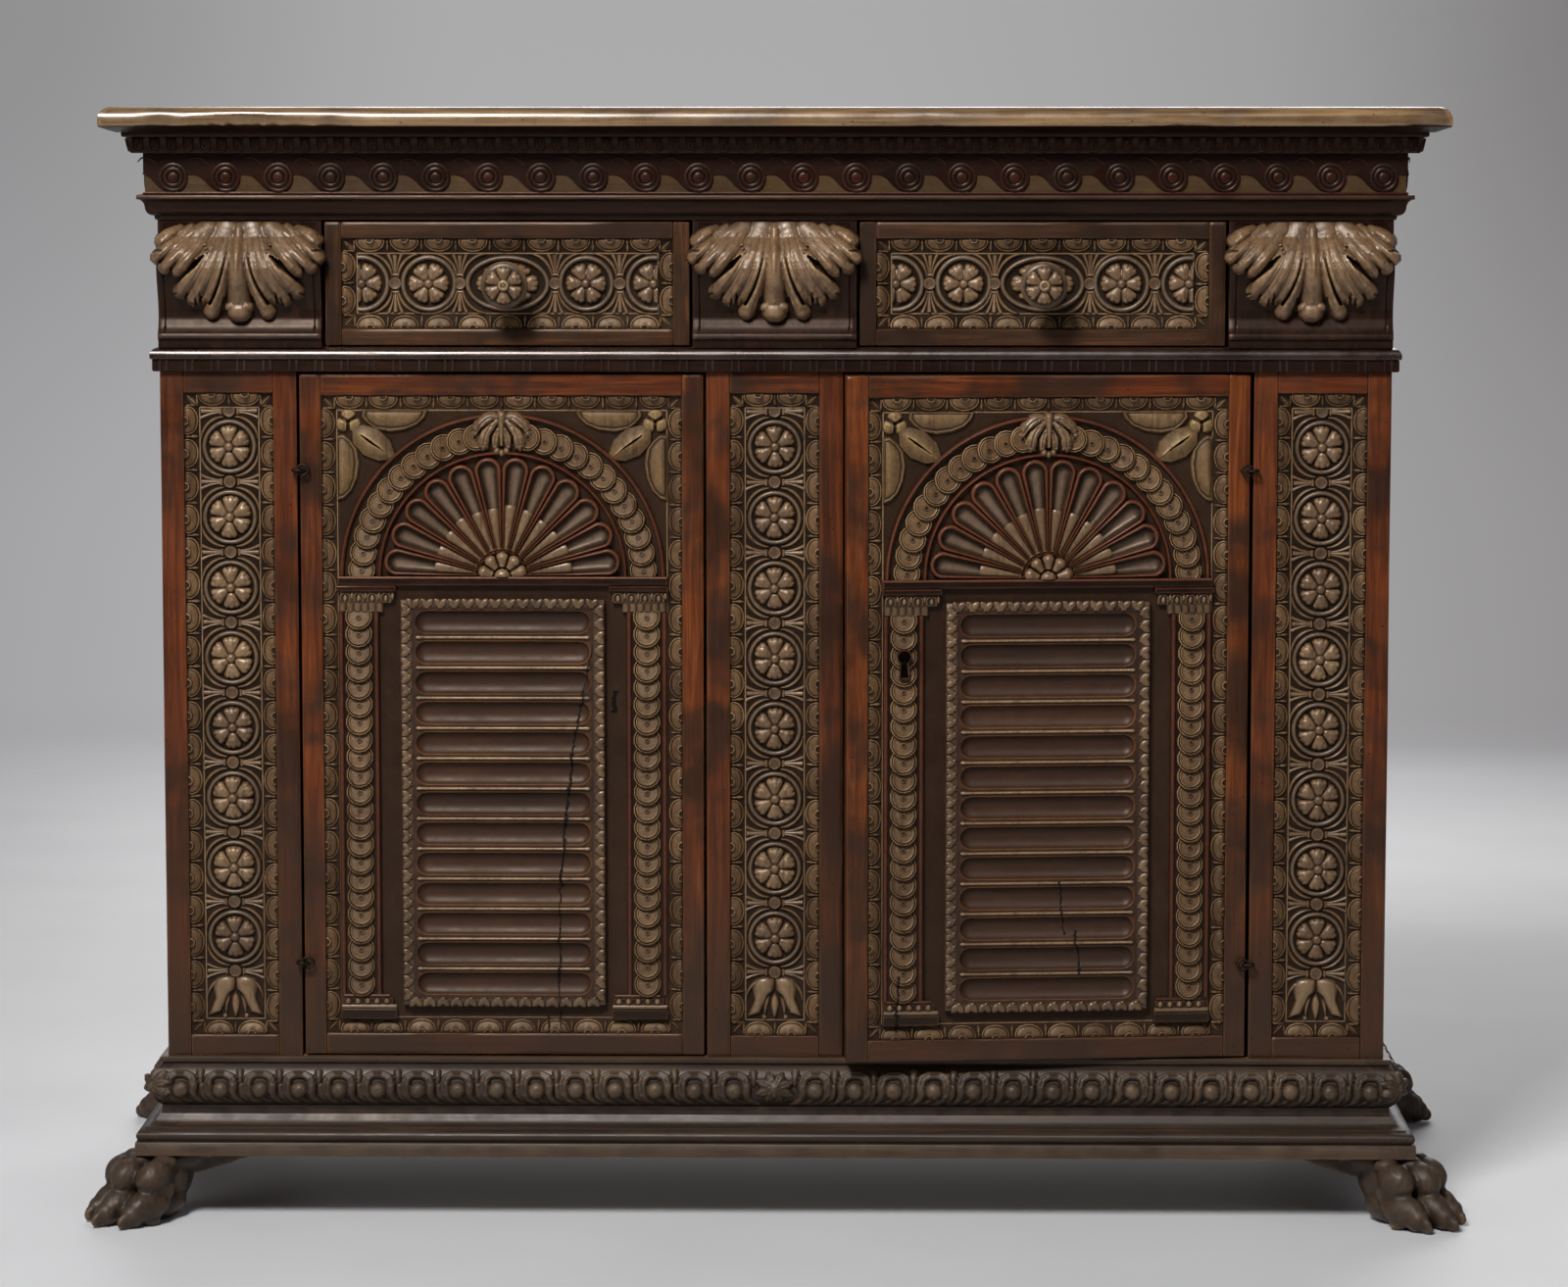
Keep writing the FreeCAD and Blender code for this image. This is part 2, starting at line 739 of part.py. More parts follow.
def hinge_ring(name, at, shank_x, upright):
    ring = doc.addObject("Part::Torus", f"{name}_ring")
    if upright:
        turned(ring, FreeCAD.Rotation(vector(1, 0, 0), 90))
    bind(ring, ("Radius1", "Radius2"), (s.hinge_ring, s.hinge_wire))
    place(ring, at)
    length = s.hinge_stand_off + s.hinge_shank
    shank = rod(f"{name}_shank", (shank_x, at[1], at[2]), s.hinge_shank_wire, length, toward_back)
    return fuse(name, [ring, shank])


def shank_bores(name, x, rises):
    length = s.hinge_shank + 1 + s.hinge_clearance
    return [rod(f"{name}_bore_{index}", (x, -1, rise), hinge_bore, length, toward_back)
            for index, rise in enumerate(rises, start=1)]


staple_inset = s.hinge_ring - s.door_gap / 2
eye_inset = s.hinge_ring * 2 - s.door_gap / 2
staple_rises = [s.door_foot_gap + rise for rise in hinge_rises]
for side, sign in (("left", -1), ("right", 1)):
    node(f"{side}_hinge_staples", [
        hinge_ring(f"{side}_staple_{index}", (axis_x * sign, axis_y, z_door + rise),
                   (axis_x + s.hinge_ring) * sign, False)
        for index, rise in enumerate(hinge_rises, start=1)
    ])

# Front pilasters.
pilaster_bores = {
    "left": {"right": shank_bores("left_pilaster", s.pilaster_width - staple_inset, staple_rises)},
    "right": {"left": shank_bores("right_pilaster", staple_inset, staple_rises)},
}
for side, x in (
    ("left", -half_width),
    ("center", -s.pilaster_width / 2),
    ("right", half_width - s.pilaster_width),
):
    shape = (s.pilaster_width, s.door_bay_height, s.pilaster_stile, s.front_rail, s.front_rail)
    place(frame(f"{side}_pilaster_frame", *shape, bores=pilaster_bores.get(side)), (x, front, z_doors))
    place(panel(f"{side}_pilaster_panel", *shape), (x, front, z_doors))

# Sides, joined like the pilasters and turned to face left and right.
side_width = s.carcass_depth - s.frame_thickness
side_height = z_top - z_doors
for side, x, y, turn in (("left", -half_width, back, -90), ("right", half_width, behind_frames, 90)):
    shape = (side_width, side_height, s.side_stile, s.side_low_rail, z_top - z_string)
    for item in (frame(f"{side}_side_frame", *shape), panel(f"{side}_side_panel", *shape)):
        place(turned(item, FreeCAD.Rotation(up, turn)), (x, y, z_doors))

# Stops behind the middle pilaster, parted where the bolt passes.
stop_half = s.pilaster_width / 2 + s.stop_lap
lock_low = z_door + lock_rise - s.lock_height / 2 - s.lock_edge_gap
lock_high = lock_low + s.lock_height + 2 * s.lock_edge_gap
node("door_stops", [
    block("low_door_stop", (-stop_half, behind_frames, z_doors),
          (stop_half * 2, s.stop_thickness, lock_low - z_doors)),
    block("high_door_stop", (-stop_half, behind_frames, lock_high),
          (stop_half * 2, s.stop_thickness, z_string - lock_high)),
])


# Doors. Each piece is made as if closed, from the lower left corner of the leaf,
# and then set by the hinge axis.
def column(name, x, inner, holes):
    floor = s.panel_recess
    foot_z = field_foot
    head_z = impost_rise - s.capital_height
    wide_x = x - (s.capital_width - s.column_width if inner < 0 else 0)
    shaft = block(f"{name}_shaft", (x, floor - s.column_relief, foot_z),
                  (s.column_width, s.column_relief, impost_rise - foot_z))
    base = block(f"{name}_base", (wide_x, floor - s.capital_relief, foot_z),
                 (s.capital_width, s.capital_relief, s.column_base_height))
    capital = block(f"{name}_capital", (wide_x, floor - s.capital_relief, head_z),
                    (s.capital_width, s.capital_relief, s.capital_height))
    whole = fuse(f"{name}_whole", [shaft, base, capital])
    return cut(name, whole, holes) if holes else whole


def half_disc(name, at, radius, relief):
    item = turned(doc.addObject("Part::Cylinder", name), FreeCAD.Rotation(vector(1, 0, 0), 90))
    item.Angle = 180
    bind(item, ("Radius", "Height"), (radius, relief))
    return place(item, at)


def portal(name, holes):
    floor = s.panel_recess
    middle = door_width / 2
    left = middle - field_width / 2
    arch_at = (middle, floor, impost_rise + s.impost_height)
    impost = block(f"{name}_impost", (left, floor - s.impost_relief, impost_rise),
                   (field_width, s.impost_relief, s.impost_height))
    disc = half_disc(f"{name}_arch_disc", arch_at, arch_radius, s.arch_relief)
    opening = half_disc(f"{name}_arch_opening", arch_at, arch_radius - s.arch_band, s.arch_relief)
    arch = cut(f"{name}_arch", disc, [opening])
    shell = fuse(f"{name}_shell", [
        half_disc(f"{name}_fan", arch_at, arch_radius - s.arch_band - s.shell_gap, s.shell_relief),
        half_disc(f"{name}_boss", arch_at, s.boss_radius, s.boss_relief),
    ])
    right = left + field_width - s.column_width
    return node(name, [
        impost,
        arch,
        shell,
        column(f"{name}_left_column", left, 1, holes),
        column(f"{name}_right_column", right, -1, []),
    ])


fluted_width = field_width - 2 * (s.capital_width + s.fluted_side_gap)
fluted_rise = field_foot + s.fluted_foot_gap
fluted_height = impost_rise - s.fluted_head_gap - fluted_rise


def fluted_panel(name):
    # A raised board cut with a row of level flutes, round at both ends.
    body = doc.addObject("PartDesign::Body", name)
    half = fluted_width / 2
    plan = body_sketch(body, "board_outline", "XZ_Plane", [
        (-half, 0), (half, 0), (half, fluted_height), (-half, fluted_height),
    ])
    pad = feature(body, "Pad", "board", plan)
    bind(pad, ("Length",), (s.fluted_relief,))
    doc.recompute()
    row_length = fluted_height - 2 * s.flute_row_margin
    half_flute = (row_length / (s.flute_count - 1) - s.flute_ridge) / 2
    radius = (half_flute * half_flute + s.flute_depth * s.flute_depth) / (2 * s.flute_depth)
    axis_line = -s.fluted_relief - radius + s.flute_depth
    straight = half - s.flute_end_margin - half_flute
    scoop = body_sketch(body, "flute_outline", "XY_Plane", [
        (-straight - radius, axis_line),
        (straight + radius, axis_line, quarter_turn),
        (straight, axis_line + radius),
        (-straight, axis_line + radius, quarter_turn),
    ])
    scoop.setExpression("AttachmentOffset.Base.z", s.flute_row_margin.text)
    doc.recompute()
    flute = feature(body, "Groove", "flute", scoop, ReferenceAxis=(scoop, ["Edge1"]), Angle=360)
    doc.recompute()
    row = body.newObject("PartDesign::LinearPattern", f"{name}_flutes")
    row.Originals = [flute]
    row.Direction = ([item for item in body.Origin.OriginFeatures if item.Role == "Z_Axis"][0], [""])
    row.setExpression("Length", row_length.text)
    row.setExpression("Occurrences", s.flute_count.text)
    body.Tip = row
    nodes.append(body)
    return body


def door_place(item, sign, at=(0, 0, 0)):
    # Sets a piece of a leaf, whose corner is the leaf's own, turned about the hinge axis.
    turn = s.door_ajar if sign > 0 else dim(0)
    reach_x = (door_width + s.door_gap / 2 if sign > 0 else -s.door_gap / 2) - at[0]
    reach_y = -s.hinge_stand_off - at[1]
    x = axis_x * sign - (cosine(turn) * reach_x - sine(turn) * reach_y)
    y = axis_y - (sine(turn) * reach_x + cosine(turn) * reach_y)
    return place(item, (x, y, z_door + at[2]), turn)


for side, sign in (("left", -1), ("right", 1)):
    holes = []
    if side == "right":
        depth = s.frame_thickness + 2
        slot_low = lock_rise - s.keyhole_slot_length + s.keyhole_radius
        holes = [
            rod("keyhole_eye", (s.keyhole_inset, -1, lock_rise), s.keyhole_radius, depth, toward_back),
            block("keyhole_slot", (s.keyhole_inset - s.keyhole_slot_width / 2, -1, slot_low),
                  (s.keyhole_slot_width, depth, s.keyhole_slot_length - s.keyhole_radius)),
        ]
    eye_x = eye_inset if sign < 0 else door_width - eye_inset
    leaf_axis_x = -s.door_gap / 2 if sign < 0 else door_width + s.door_gap / 2
    shape = (door_width, door_height, s.door_stile, s.front_rail, s.front_rail)
    bores = {side: shank_bores(f"{side}_door", eye_x, hinge_rises)}
    eyes = node(f"{side}_hinge_eyes", [
        hinge_ring(f"{side}_eye_{index}", (leaf_axis_x - s.hinge_ring * sign, -s.hinge_stand_off, rise),
                   eye_x, True)
        for index, rise in enumerate(hinge_rises, start=1)
    ])
    for item in (
        frame(f"{side}_door_frame", *shape, bores=bores),
        panel(f"{side}_door_panel", *shape, holes=holes),
        portal(f"{side}_door_portal", holes),
        eyes,
    ):
        door_place(item, sign)
    door_place(fluted_panel(f"{side}_door_flutes"), sign, (door_width / 2, s.panel_recess, fluted_rise))

# Lock of the right door: a case nailed behind the leaf, and a bolt that slides out past the leaf's edge.
case_y = s.frame_thickness
case_low = lock_rise - s.lock_height / 2
slot = s.bolt_clearance
bolt_y = case_y + (s.lock_depth - s.lock_wall - s.bolt_thickness) / 2
bolt_low = lock_rise - s.bolt_height / 2
lock_case = node("lock_case", [cut(
    "lock_case_shell",
    block("lock_case_box", (s.lock_edge_gap, case_y, case_low),
          (s.lock_length, s.lock_depth, s.lock_height)),
    [
        block("lock_case_hollow", (s.lock_edge_gap + s.lock_wall, case_y - 1, case_low + s.lock_wall),
              (s.lock_length - 2 * s.lock_wall, s.lock_depth - s.lock_wall + 1,
               s.lock_height - 2 * s.lock_wall)),
        block("lock_case_slot", (s.lock_edge_gap - 1, bolt_y - slot, bolt_low - slot),
              (s.lock_wall + 2, s.bolt_thickness + 2 * slot, s.bolt_height + 2 * slot)),
    ],
)])
lock_bolt = node("lock_bolt", [
    block("lock_bolt_bar", (slot, bolt_y, bolt_low), (s.bolt_length, s.bolt_thickness, s.bolt_height)),
])
for item in (lock_case, lock_bolt):
    door_place(item, 1)

# Drawers, with their guides and kickers.
drawer_bay = (s.carcass_width - 3 * s.console_width) / 2
drawer_width = drawer_bay - 2 * s.drawer_side_gap
drawer_height = s.drawer_bay_height - s.drawer_head_gap - s.drawer_foot_gap
bottom_z = z_drawers + s.drawer_foot_gap
box_width = drawer_width - 2 * s.drawer_box_inset
box_length = inner_depth - s.drawer_back_gap
guides = []
kickers = []


def knob(name):
    body = doc.addObject("PartDesign::Body", name)
    head = s.knob_reach
    profile = body_sketch(body, "turning", "XY_Plane", [
        (0, s.panel_thickness),
        (0, -head, soft_out),
        (s.knob_radius * 0.35, -head * 0.95),
        (s.knob_radius * 0.42, -head * 0.91, soft_out),
        (s.knob_radius, -head * 0.76),
        (s.knob_radius, -head * 0.68, soft_out),
        (s.knob_neck_radius, -head * 0.36),
        (s.knob_neck_radius, -head * 0.22),
        (s.knob_collar_radius, -s.knob_collar_height),
        (s.knob_collar_radius, 0),
        (s.knob_shank_radius, 0),
        (s.knob_shank_radius, s.panel_thickness),
    ])
    feature(body, "Revolution", "turned", profile, ReferenceAxis=(profile, ["V_Axis"]), Angle=360)
    nodes.append(body)
    return body


for side, sign in (("left", -1), ("right", 1)):
    bay_middle = (s.console_width / 2 + drawer_bay / 2) * sign
    corner_x = bay_middle - drawer_width / 2
    shape = (drawer_width, drawer_height, s.drawer_frame, s.drawer_frame, s.drawer_frame)
    hole = rod(f"{side}_knob_hole", (drawer_width / 2, s.panel_recess - 1, drawer_height / 2),
               s.knob_shank_radius + s.knob_clearance, s.panel_thickness + 2, toward_back)
    front_frame = frame(f"{side}_drawer_frame", *shape)
    front_panel = panel(f"{side}_drawer_panel", *shape, holes=[hole])
    for item in (front_frame, front_panel):
        place(item, (corner_x, front, bottom_z))
    place(knob(f"{side}_knob"), (bay_middle, front + s.panel_recess, bottom_z + drawer_height / 2))
    box_x = bay_middle - box_width / 2
    wall = s.drawer_wall
    far_x = box_x + box_width - wall
    box_back = behind_frames + box_length - wall
    inside = box_width - 2 * wall
    node(f"{side}_drawer_box", [
        block(f"{side}_drawer_left_side", (box_x, behind_frames, bottom_z),
              (wall, box_length, s.drawer_box_height)),
        block(f"{side}_drawer_right_side", (far_x, behind_frames, bottom_z),
              (wall, box_length, s.drawer_box_height)),
        block(f"{side}_drawer_back", (box_x + wall, box_back, bottom_z),
              (inside, wall, s.drawer_box_height)),
    ])
    node(f"{side}_drawer_bottom", [
        block(f"{side}_drawer_bottom_board", (box_x + wall, behind_frames, bottom_z + s.drawer_bottom_rise),
              (inside, box_length - wall, s.drawer_bottom_thickness)),
    ])
    guide_gap = box_width / 2 + s.guide_clearance
    for end, x in (("left", bay_middle - guide_gap - s.guide_size), ("right", bay_middle + guide_gap)):
        guides.append(block(f"{side}_drawer_{end}_guide", (x, behind_frames, z_drawers),
                            (s.guide_size, inner_depth, s.guide_size)))
    kicker_z = bottom_z + s.drawer_box_height + s.kicker_clearance
    for end, x in (("left", box_x), ("right", box_x + box_width - s.kicker_size)):
        kickers.append(block(f"{side}_drawer_{end}_kicker", (x, behind_frames, kicker_z),
                             (s.kicker_size, inner_depth, z_cyma - kicker_z)))
node("drawer_guides", guides)
node("drawer_kickers", kickers)

# Consoles between the drawers: a bracket with a double curve, and an acanthus leaf over it.
bay = s.drawer_bay_height
console_profile = [
    (-s.frame_thickness, 0),
    (s.console_foot * 0.6, 0),
    (s.console_foot * 0.6, bay * 0.06),
    (s.console_foot, bay * 0.07),
    (s.console_foot, bay * 0.11, soft_in),
    (0, bay * 0.3, soft_in),
    (s.console_bulge, bay * 0.62, soft_out),
    (0, bay * 0.86),
    (0, bay),
    (-s.frame_thickness, bay),
]
leaf_top = bay * 0.9
leaf_low = leaf_top - s.console_leaf_height
leaf_half = s.console_leaf_width / 2
leaf_front = [
    (-leaf_half * 0.6, leaf_top),
    (-leaf_half, leaf_top - s.console_leaf_height * 0.42, soft_out),
    (0, leaf_low, soft_out),
    (leaf_half, leaf_top - s.console_leaf_height * 0.42),
    (leaf_half * 0.6, leaf_top),
]
leaf_side = [
    (-2, leaf_low),
    (s.console_leaf_reach * 0.6, leaf_low),
    (s.console_leaf_reach * 0.45, leaf_low + s.console_leaf_height * 0.25),
    (s.console_leaf_reach, leaf_low + s.console_leaf_height * 0.6, soft_out),
    (s.console_leaf_reach * 0.3, leaf_top),
    (-2, leaf_top),
]
for side, x in (("left", (s.console_width - s.carcass_width) / 2), ("center", dim(0)),
                ("right", (s.carcass_width - s.console_width) / 2)):
    name = f"{side}_console"
    bracket = drawn(f"{name}_bracket", console_profile, front_profile,
                    (x + s.console_width / 2, front, z_drawers), s.console_width)
    spread = drawn(f"{name}_leaf_spread", leaf_front, elevation,
                   (x, front + s.frame_thickness / 2, z_drawers), s.console_leaf_reach + s.frame_thickness)
    swell = drawn(f"{name}_leaf_swell", leaf_side, front_profile,
                  (x + leaf_half, front, z_drawers), s.console_leaf_width)
    leaf = common(f"{name}_leaf", [spread, swell])
    node(name, [fuse(f"{name}_wood", [bracket, leaf])])

doc.recompute()

# Every object must be sound before the pieces are written out.
faults = []
for item in doc.Objects:
    if "Invalid" in item.State or "Error" in item.State:
        faults.append(f"{item.Label}: {item.State}")
    shape = getattr(item, "Shape", None)
    if shape is not None and (shape.isNull() or not shape.isValid()):
        faults.append(f"{item.Label}: shape is null or not valid")
if faults:
    raise RuntimeError("; ".join(faults))

os.makedirs("parts", exist_ok=True)
for item in nodes:
    item.Shape.exportStep(os.path.join("parts", f"{item.Label}.step"))
print(f"{len(nodes)} nodes")
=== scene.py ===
import json
import math
import bpy
import bmesh
import numpy as np
from mathutils import Matrix, Vector


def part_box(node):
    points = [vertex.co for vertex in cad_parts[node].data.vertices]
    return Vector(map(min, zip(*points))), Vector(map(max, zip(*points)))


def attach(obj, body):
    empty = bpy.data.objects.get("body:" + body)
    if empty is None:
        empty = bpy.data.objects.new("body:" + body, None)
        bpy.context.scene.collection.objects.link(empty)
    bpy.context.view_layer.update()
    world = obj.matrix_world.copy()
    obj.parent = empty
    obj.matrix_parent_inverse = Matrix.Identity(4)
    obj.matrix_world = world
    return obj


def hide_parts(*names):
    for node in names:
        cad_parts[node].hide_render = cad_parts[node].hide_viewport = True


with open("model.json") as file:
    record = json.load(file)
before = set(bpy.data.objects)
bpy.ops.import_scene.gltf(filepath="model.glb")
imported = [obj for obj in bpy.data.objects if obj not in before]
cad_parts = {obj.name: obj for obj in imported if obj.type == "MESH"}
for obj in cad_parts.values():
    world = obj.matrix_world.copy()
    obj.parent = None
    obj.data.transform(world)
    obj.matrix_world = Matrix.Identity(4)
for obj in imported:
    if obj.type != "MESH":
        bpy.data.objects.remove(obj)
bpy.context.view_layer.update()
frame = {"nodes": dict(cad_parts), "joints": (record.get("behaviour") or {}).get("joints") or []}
scene = bpy.context.scene
mm = 0.001
print("frame loaded:", len(frame["nodes"]), "nodes")


def tone(code):  # web colour to linear
    parts = [int(code[i:i + 2], 16) / 255 for i in (1, 3, 5)]
    return tuple(p / 12.92 if p <= 0.04045 else ((p + 0.055) / 1.055) ** 2.4 for p in parts) + (1.0,)


def fade(codes, *places):  # colour stops
    return list(zip(places, codes.split()))


# shader helpers
def put(tree, kind, values=None, **settings):
    node = tree.nodes.new(kind)
    for key, value in settings.items():
        setattr(node, key, value)
    for key, value in (values or {}).items():
        if isinstance(value, bpy.types.NodeSocket):
            tree.links.new(value, node.inputs[key])
        else:
            node.inputs[key].default_value = value
    return node


def calc(tree, operation, first, second=0.0):
    return put(tree, "ShaderNodeMath", {0: first, 1: second}, operation=operation).outputs[0]


def times(tree, first, second):
    return calc(tree, "MULTIPLY", first, second)


def plus(tree, first, second):
    return calc(tree, "ADD", first, second)


def blend(tree, share, first, second):
    return put(tree, "ShaderNodeMix", {0: share, 6: first, 7: second}, data_type="RGBA").outputs[2]


def wash(tree, colour, share, most, code):  # lays a tone over a colour
    return blend(tree, times(tree, share, most), colour, tone(code))


def spread(tree, value, low, high, toLow=0.0, toHigh=1.0):
    return put(tree, "ShaderNodeMapRange", {0: value, 1: low, 2: high, 3: toLow, 4: toHigh},
               interpolation_type="SMOOTHSTEP").outputs[0]


def cloud(tree, vector, scale, detail=4.0, rough=0.55, twist=0.0):
    return put(tree, "ShaderNodeTexNoise", {"Vector": vector, "Scale": scale, "Detail": detail,
                                            "Roughness": rough, "Distortion": twist}).outputs["Fac"]


def ramp(tree, value, stops):
    node = put(tree, "ShaderNodeValToRGB", {0: value})
    marks = node.color_ramp.elements
    while len(marks) < len(stops):
        marks.new(1.0)
    for mark, (at, colour) in zip(marks, stops):
        mark.position = at
        mark.color = tone(colour)
    return node.outputs[0]


def shaderGroup(name, inputs, outputs):  # an input with a value is a number, one without a vector
    tree = bpy.data.node_groups.new(name, "ShaderNodeTree")
    for label, value in inputs.items():
        kind = "NodeSocketVector" if value is None else "NodeSocketFloat"
        socket = tree.interface.new_socket(label, in_out="INPUT", socket_type=kind)
        if value is not None:
            socket.default_value = value
    for label in outputs:
        tree.interface.new_socket(label, in_out="OUTPUT", socket_type="NodeSocketFloat")
    return tree, tree.nodes.new("NodeGroupInput").outputs, tree.nodes.new("NodeGroupOutput").inputs


def fibreGroup():  # streaks, pores and patches along the grain
    sockets = {"Vector": None, "Along": 3.0, "Across": 70.0}
    tree, given, result = shaderGroup("woodFibre", sockets, ("Streak", "Pore", "Patch"))
    scale = put(tree, "ShaderNodeCombineXYZ",
                {0: given["Along"], 1: given["Across"], 2: given["Across"]}).outputs[0]
    flow = put(tree, "ShaderNodeVectorMath", {0: given["Vector"], 1: scale}, operation="MULTIPLY").outputs[0]
    tree.links.new(cloud(tree, flow, 1.0, 6.0, 0.62, 0.9), result["Streak"])
    fine = put(tree, "ShaderNodeVectorMath", {0: flow, 1: (5.0, 6.0, 6.0)}, operation="MULTIPLY").outputs[0]
    tree.links.new(cloud(tree, fine, 1.0, 3.0, 0.6), result["Pore"])
    tree.links.new(cloud(tree, given["Vector"], 9.0, 3.0, 0.6, 0.4), result["Patch"])
    return tree


def ageGroup():  # how far down the case a point is, its grime and its worm holes
    tree, given, result = shaderGroup("caseAge", {"Vector": None}, ("Low", "Grime", "Holes"))
    height = put(tree, "ShaderNodeSeparateXYZ", {0: given["Vector"]}).outputs[2]
    sway = times(tree, cloud(tree, given["Vector"], 5.0, 3.0), 0.3)
    tree.links.new(spread(tree, plus(tree, height, sway), 0.66, 0.3), result["Low"])
    tree.links.new(cloud(tree, given["Vector"], 26.0, 5.0, 0.65), result["Grime"])
    cells = put(tree, "ShaderNodeTexVoronoi", {"Vector": given["Vector"], "Scale": 105.0, "Randomness": 1.0})
    pick = put(tree, "ShaderNodeSeparateXYZ", {0: cells.outputs["Color"]}).outputs[0]
    dot = calc(tree, "LESS_THAN", cells.outputs["Distance"], 0.095)
    tree.links.new(times(tree, dot, calc(tree, "GREATER_THAN", pick, 0.7)), result["Holes"])
    return tree


cracks = [((-176, 566), (-185, 523), 1.8), ((-185, 523), (-197, 460), 2.4), ((-197, 460), (-203, 398), 3.6),
          ((-203, 398), (-209, 330), 3.2), ((-209, 330), (-211, 225), 2.4), ((-211, 225), (-209, 186), 1.8),
          ((-155, 520), (-157, 498), 6.0), ((277, 338), (281, 284), 2.4), ((293, 288), (297, 246), 3.0),
          ((121, 246), (119, 190), 2.6), ((-221, 200), (-220, 176), 2.4)]


def crackGroup():  # shrinkage cracks of the door panels
    tree, given, result = shaderGroup("panelCracks", {"Vector": None}, ("Crack",))
    at = put(tree, "ShaderNodeSeparateXYZ", {0: given["Vector"]}).outputs
    sway = times(tree, calc(tree, "SUBTRACT", cloud(tree, given["Vector"], 90.0, 4.0, 0.7), 0.5), 0.012)
    across = plus(tree, at[0], sway)
    total = 0.0
    for (x0, z0), (x1, z1), wide in cracks:
        line = put(tree, "ShaderNodeMapRange",
                   {0: at[2], 1: z0 * mm, 2: z1 * mm, 3: x0 * mm, 4: x1 * mm}).outputs[0]
        away = calc(tree, "ABSOLUTE", calc(tree, "SUBTRACT", across, line))
        near = spread(tree, away, wide * mm * 0.55, wide * mm * 0.3)
        within = times(tree, calc(tree, "LESS_THAN", at[2], z0 * mm), calc(tree, "GREATER_THAN", at[2], z1 * mm))
        total = calc(tree, "MAXIMUM", total, times(tree, near, within))
    tree.links.new(total, result["Crack"])
    return tree


def wearAndShadeGroup():  # raised and sunk places of a carving: rubbed gilding and painted highlight on the high places, dirt and painted shade in the sunk ones
    sockets = {"Vector": None, "Relief": 0.5, "Tint": 0.0, "Break": 0.5}
    tree, given, result = shaderGroup("carvedWearAndShade", sockets, ("Level", "Rub"))
    rough = calc(tree, "SUBTRACT", cloud(tree, given["Vector"], 95.0, 4.0, 0.65), 0.5)
    broad = calc(tree, "SUBTRACT", cloud(tree, given["Vector"], 14.0, 2.0), 0.5)
    fine = calc(tree, "SUBTRACT", cloud(tree, given["Vector"], 420.0, 3.0, 0.6), 0.5)
    level = plus(tree, given["Relief"], times(tree, plus(tree, rough, fine), given["Break"]))
    level = plus(tree, level, times(tree, broad, given["Break"]))
    level = plus(tree, level, times(tree, given["Tint"], 0.09))
    tree.links.new(level, result["Level"])
    tree.links.new(spread(tree, level, 0.7, 1.15), result["Rub"])
    return tree


fibre = fibreGroup()
age = ageGroup()
wearAndShade = wearAndShadeGroup()
split = crackGroup()


def newFinish(name, look):
    finish = bpy.data.materials.new(name)
    finish.use_nodes = True
    tree = finish.node_tree
    tree.nodes.clear()
    shader = tree.nodes.new("ShaderNodeBsdfPrincipled")
    shader.inputs["Specular IOR Level"].default_value = look.get("shine", 0.34)
    shader.inputs["Specular Tint"].default_value = (*look.get("sheen", (1.0, 0.76, 0.6)), 1.0)
    out = tree.nodes.new("ShaderNodeOutputMaterial")
    tree.links.new(shader.outputs[0], out.inputs[0])
    return finish, tree, shader


def groupNode(tree, group, values):
    return put(tree, "ShaderNodeGroup", values, node_tree=group).outputs


def attribute(tree, name):
    return put(tree, "ShaderNodeAttribute", attribute_name=name).outputs


def bump(tree, shader, height, strength, distance):
    node = put(tree, "ShaderNodeBump", {"Height": height, "Strength": strength, "Distance": distance})
    tree.links.new(node.outputs[0], shader.inputs["Normal"])


def woodFinish(name, look, ownGrain=True):
    finish, tree, shader = newFinish(name, look)
    place = put(tree, "ShaderNodeTexCoord").outputs["Object"]
    along = attribute(tree, "grain")["Vector"] if ownGrain else place
    grain = groupNode(tree, fibre, {"Vector": along, "Along": look["along"], "Across": look["across"]})
    years = groupNode(tree, age, {"Vector": place})
    tint = attribute(tree, "tint")["Fac"]
    streak = plus(tree, grain["Streak"], times(tree, tint, 0.07))
    colour = ramp(tree, streak, look["streaks"])
    stainFrom, stainTo, *stain = look["stain"]
    patches = plus(tree, grain["Patch"], times(tree, years["Grime"], 0.35))
    colour = wash(tree, colour, spread(tree, patches, stainFrom, stainTo), *stain)
    colour = wash(tree, colour, years["Low"], *look["low"])
    raised = plus(tree, attribute(tree, "relief")["Fac"], times(tree, years["Grime"], 0.8))
    colour = wash(tree, colour, spread(tree, raised, 1.0, 1.6), *look["edge"])
    colour = wash(tree, colour, spread(tree, grain["Pore"], 0.62, 0.78), 0.5, "#1a0e08")
    colour = wash(tree, colour, years["Holes"], look["holes"], "#0a0605")
    tree.links.new(colour, shader.inputs["Base Color"])
    tree.links.new(spread(tree, years["Grime"], 0.25, 0.8, look["gloss"], look["gloss"] + 0.18),
                   shader.inputs["Roughness"])
    skin = plus(tree, times(tree, grain["Streak"], 0.5), times(tree, grain["Pore"], 0.3))
    skin = calc(tree, "SUBTRACT", skin, years["Holes"])
    bump(tree, shader, skin, look["bump"], 0.0012)
    return finish


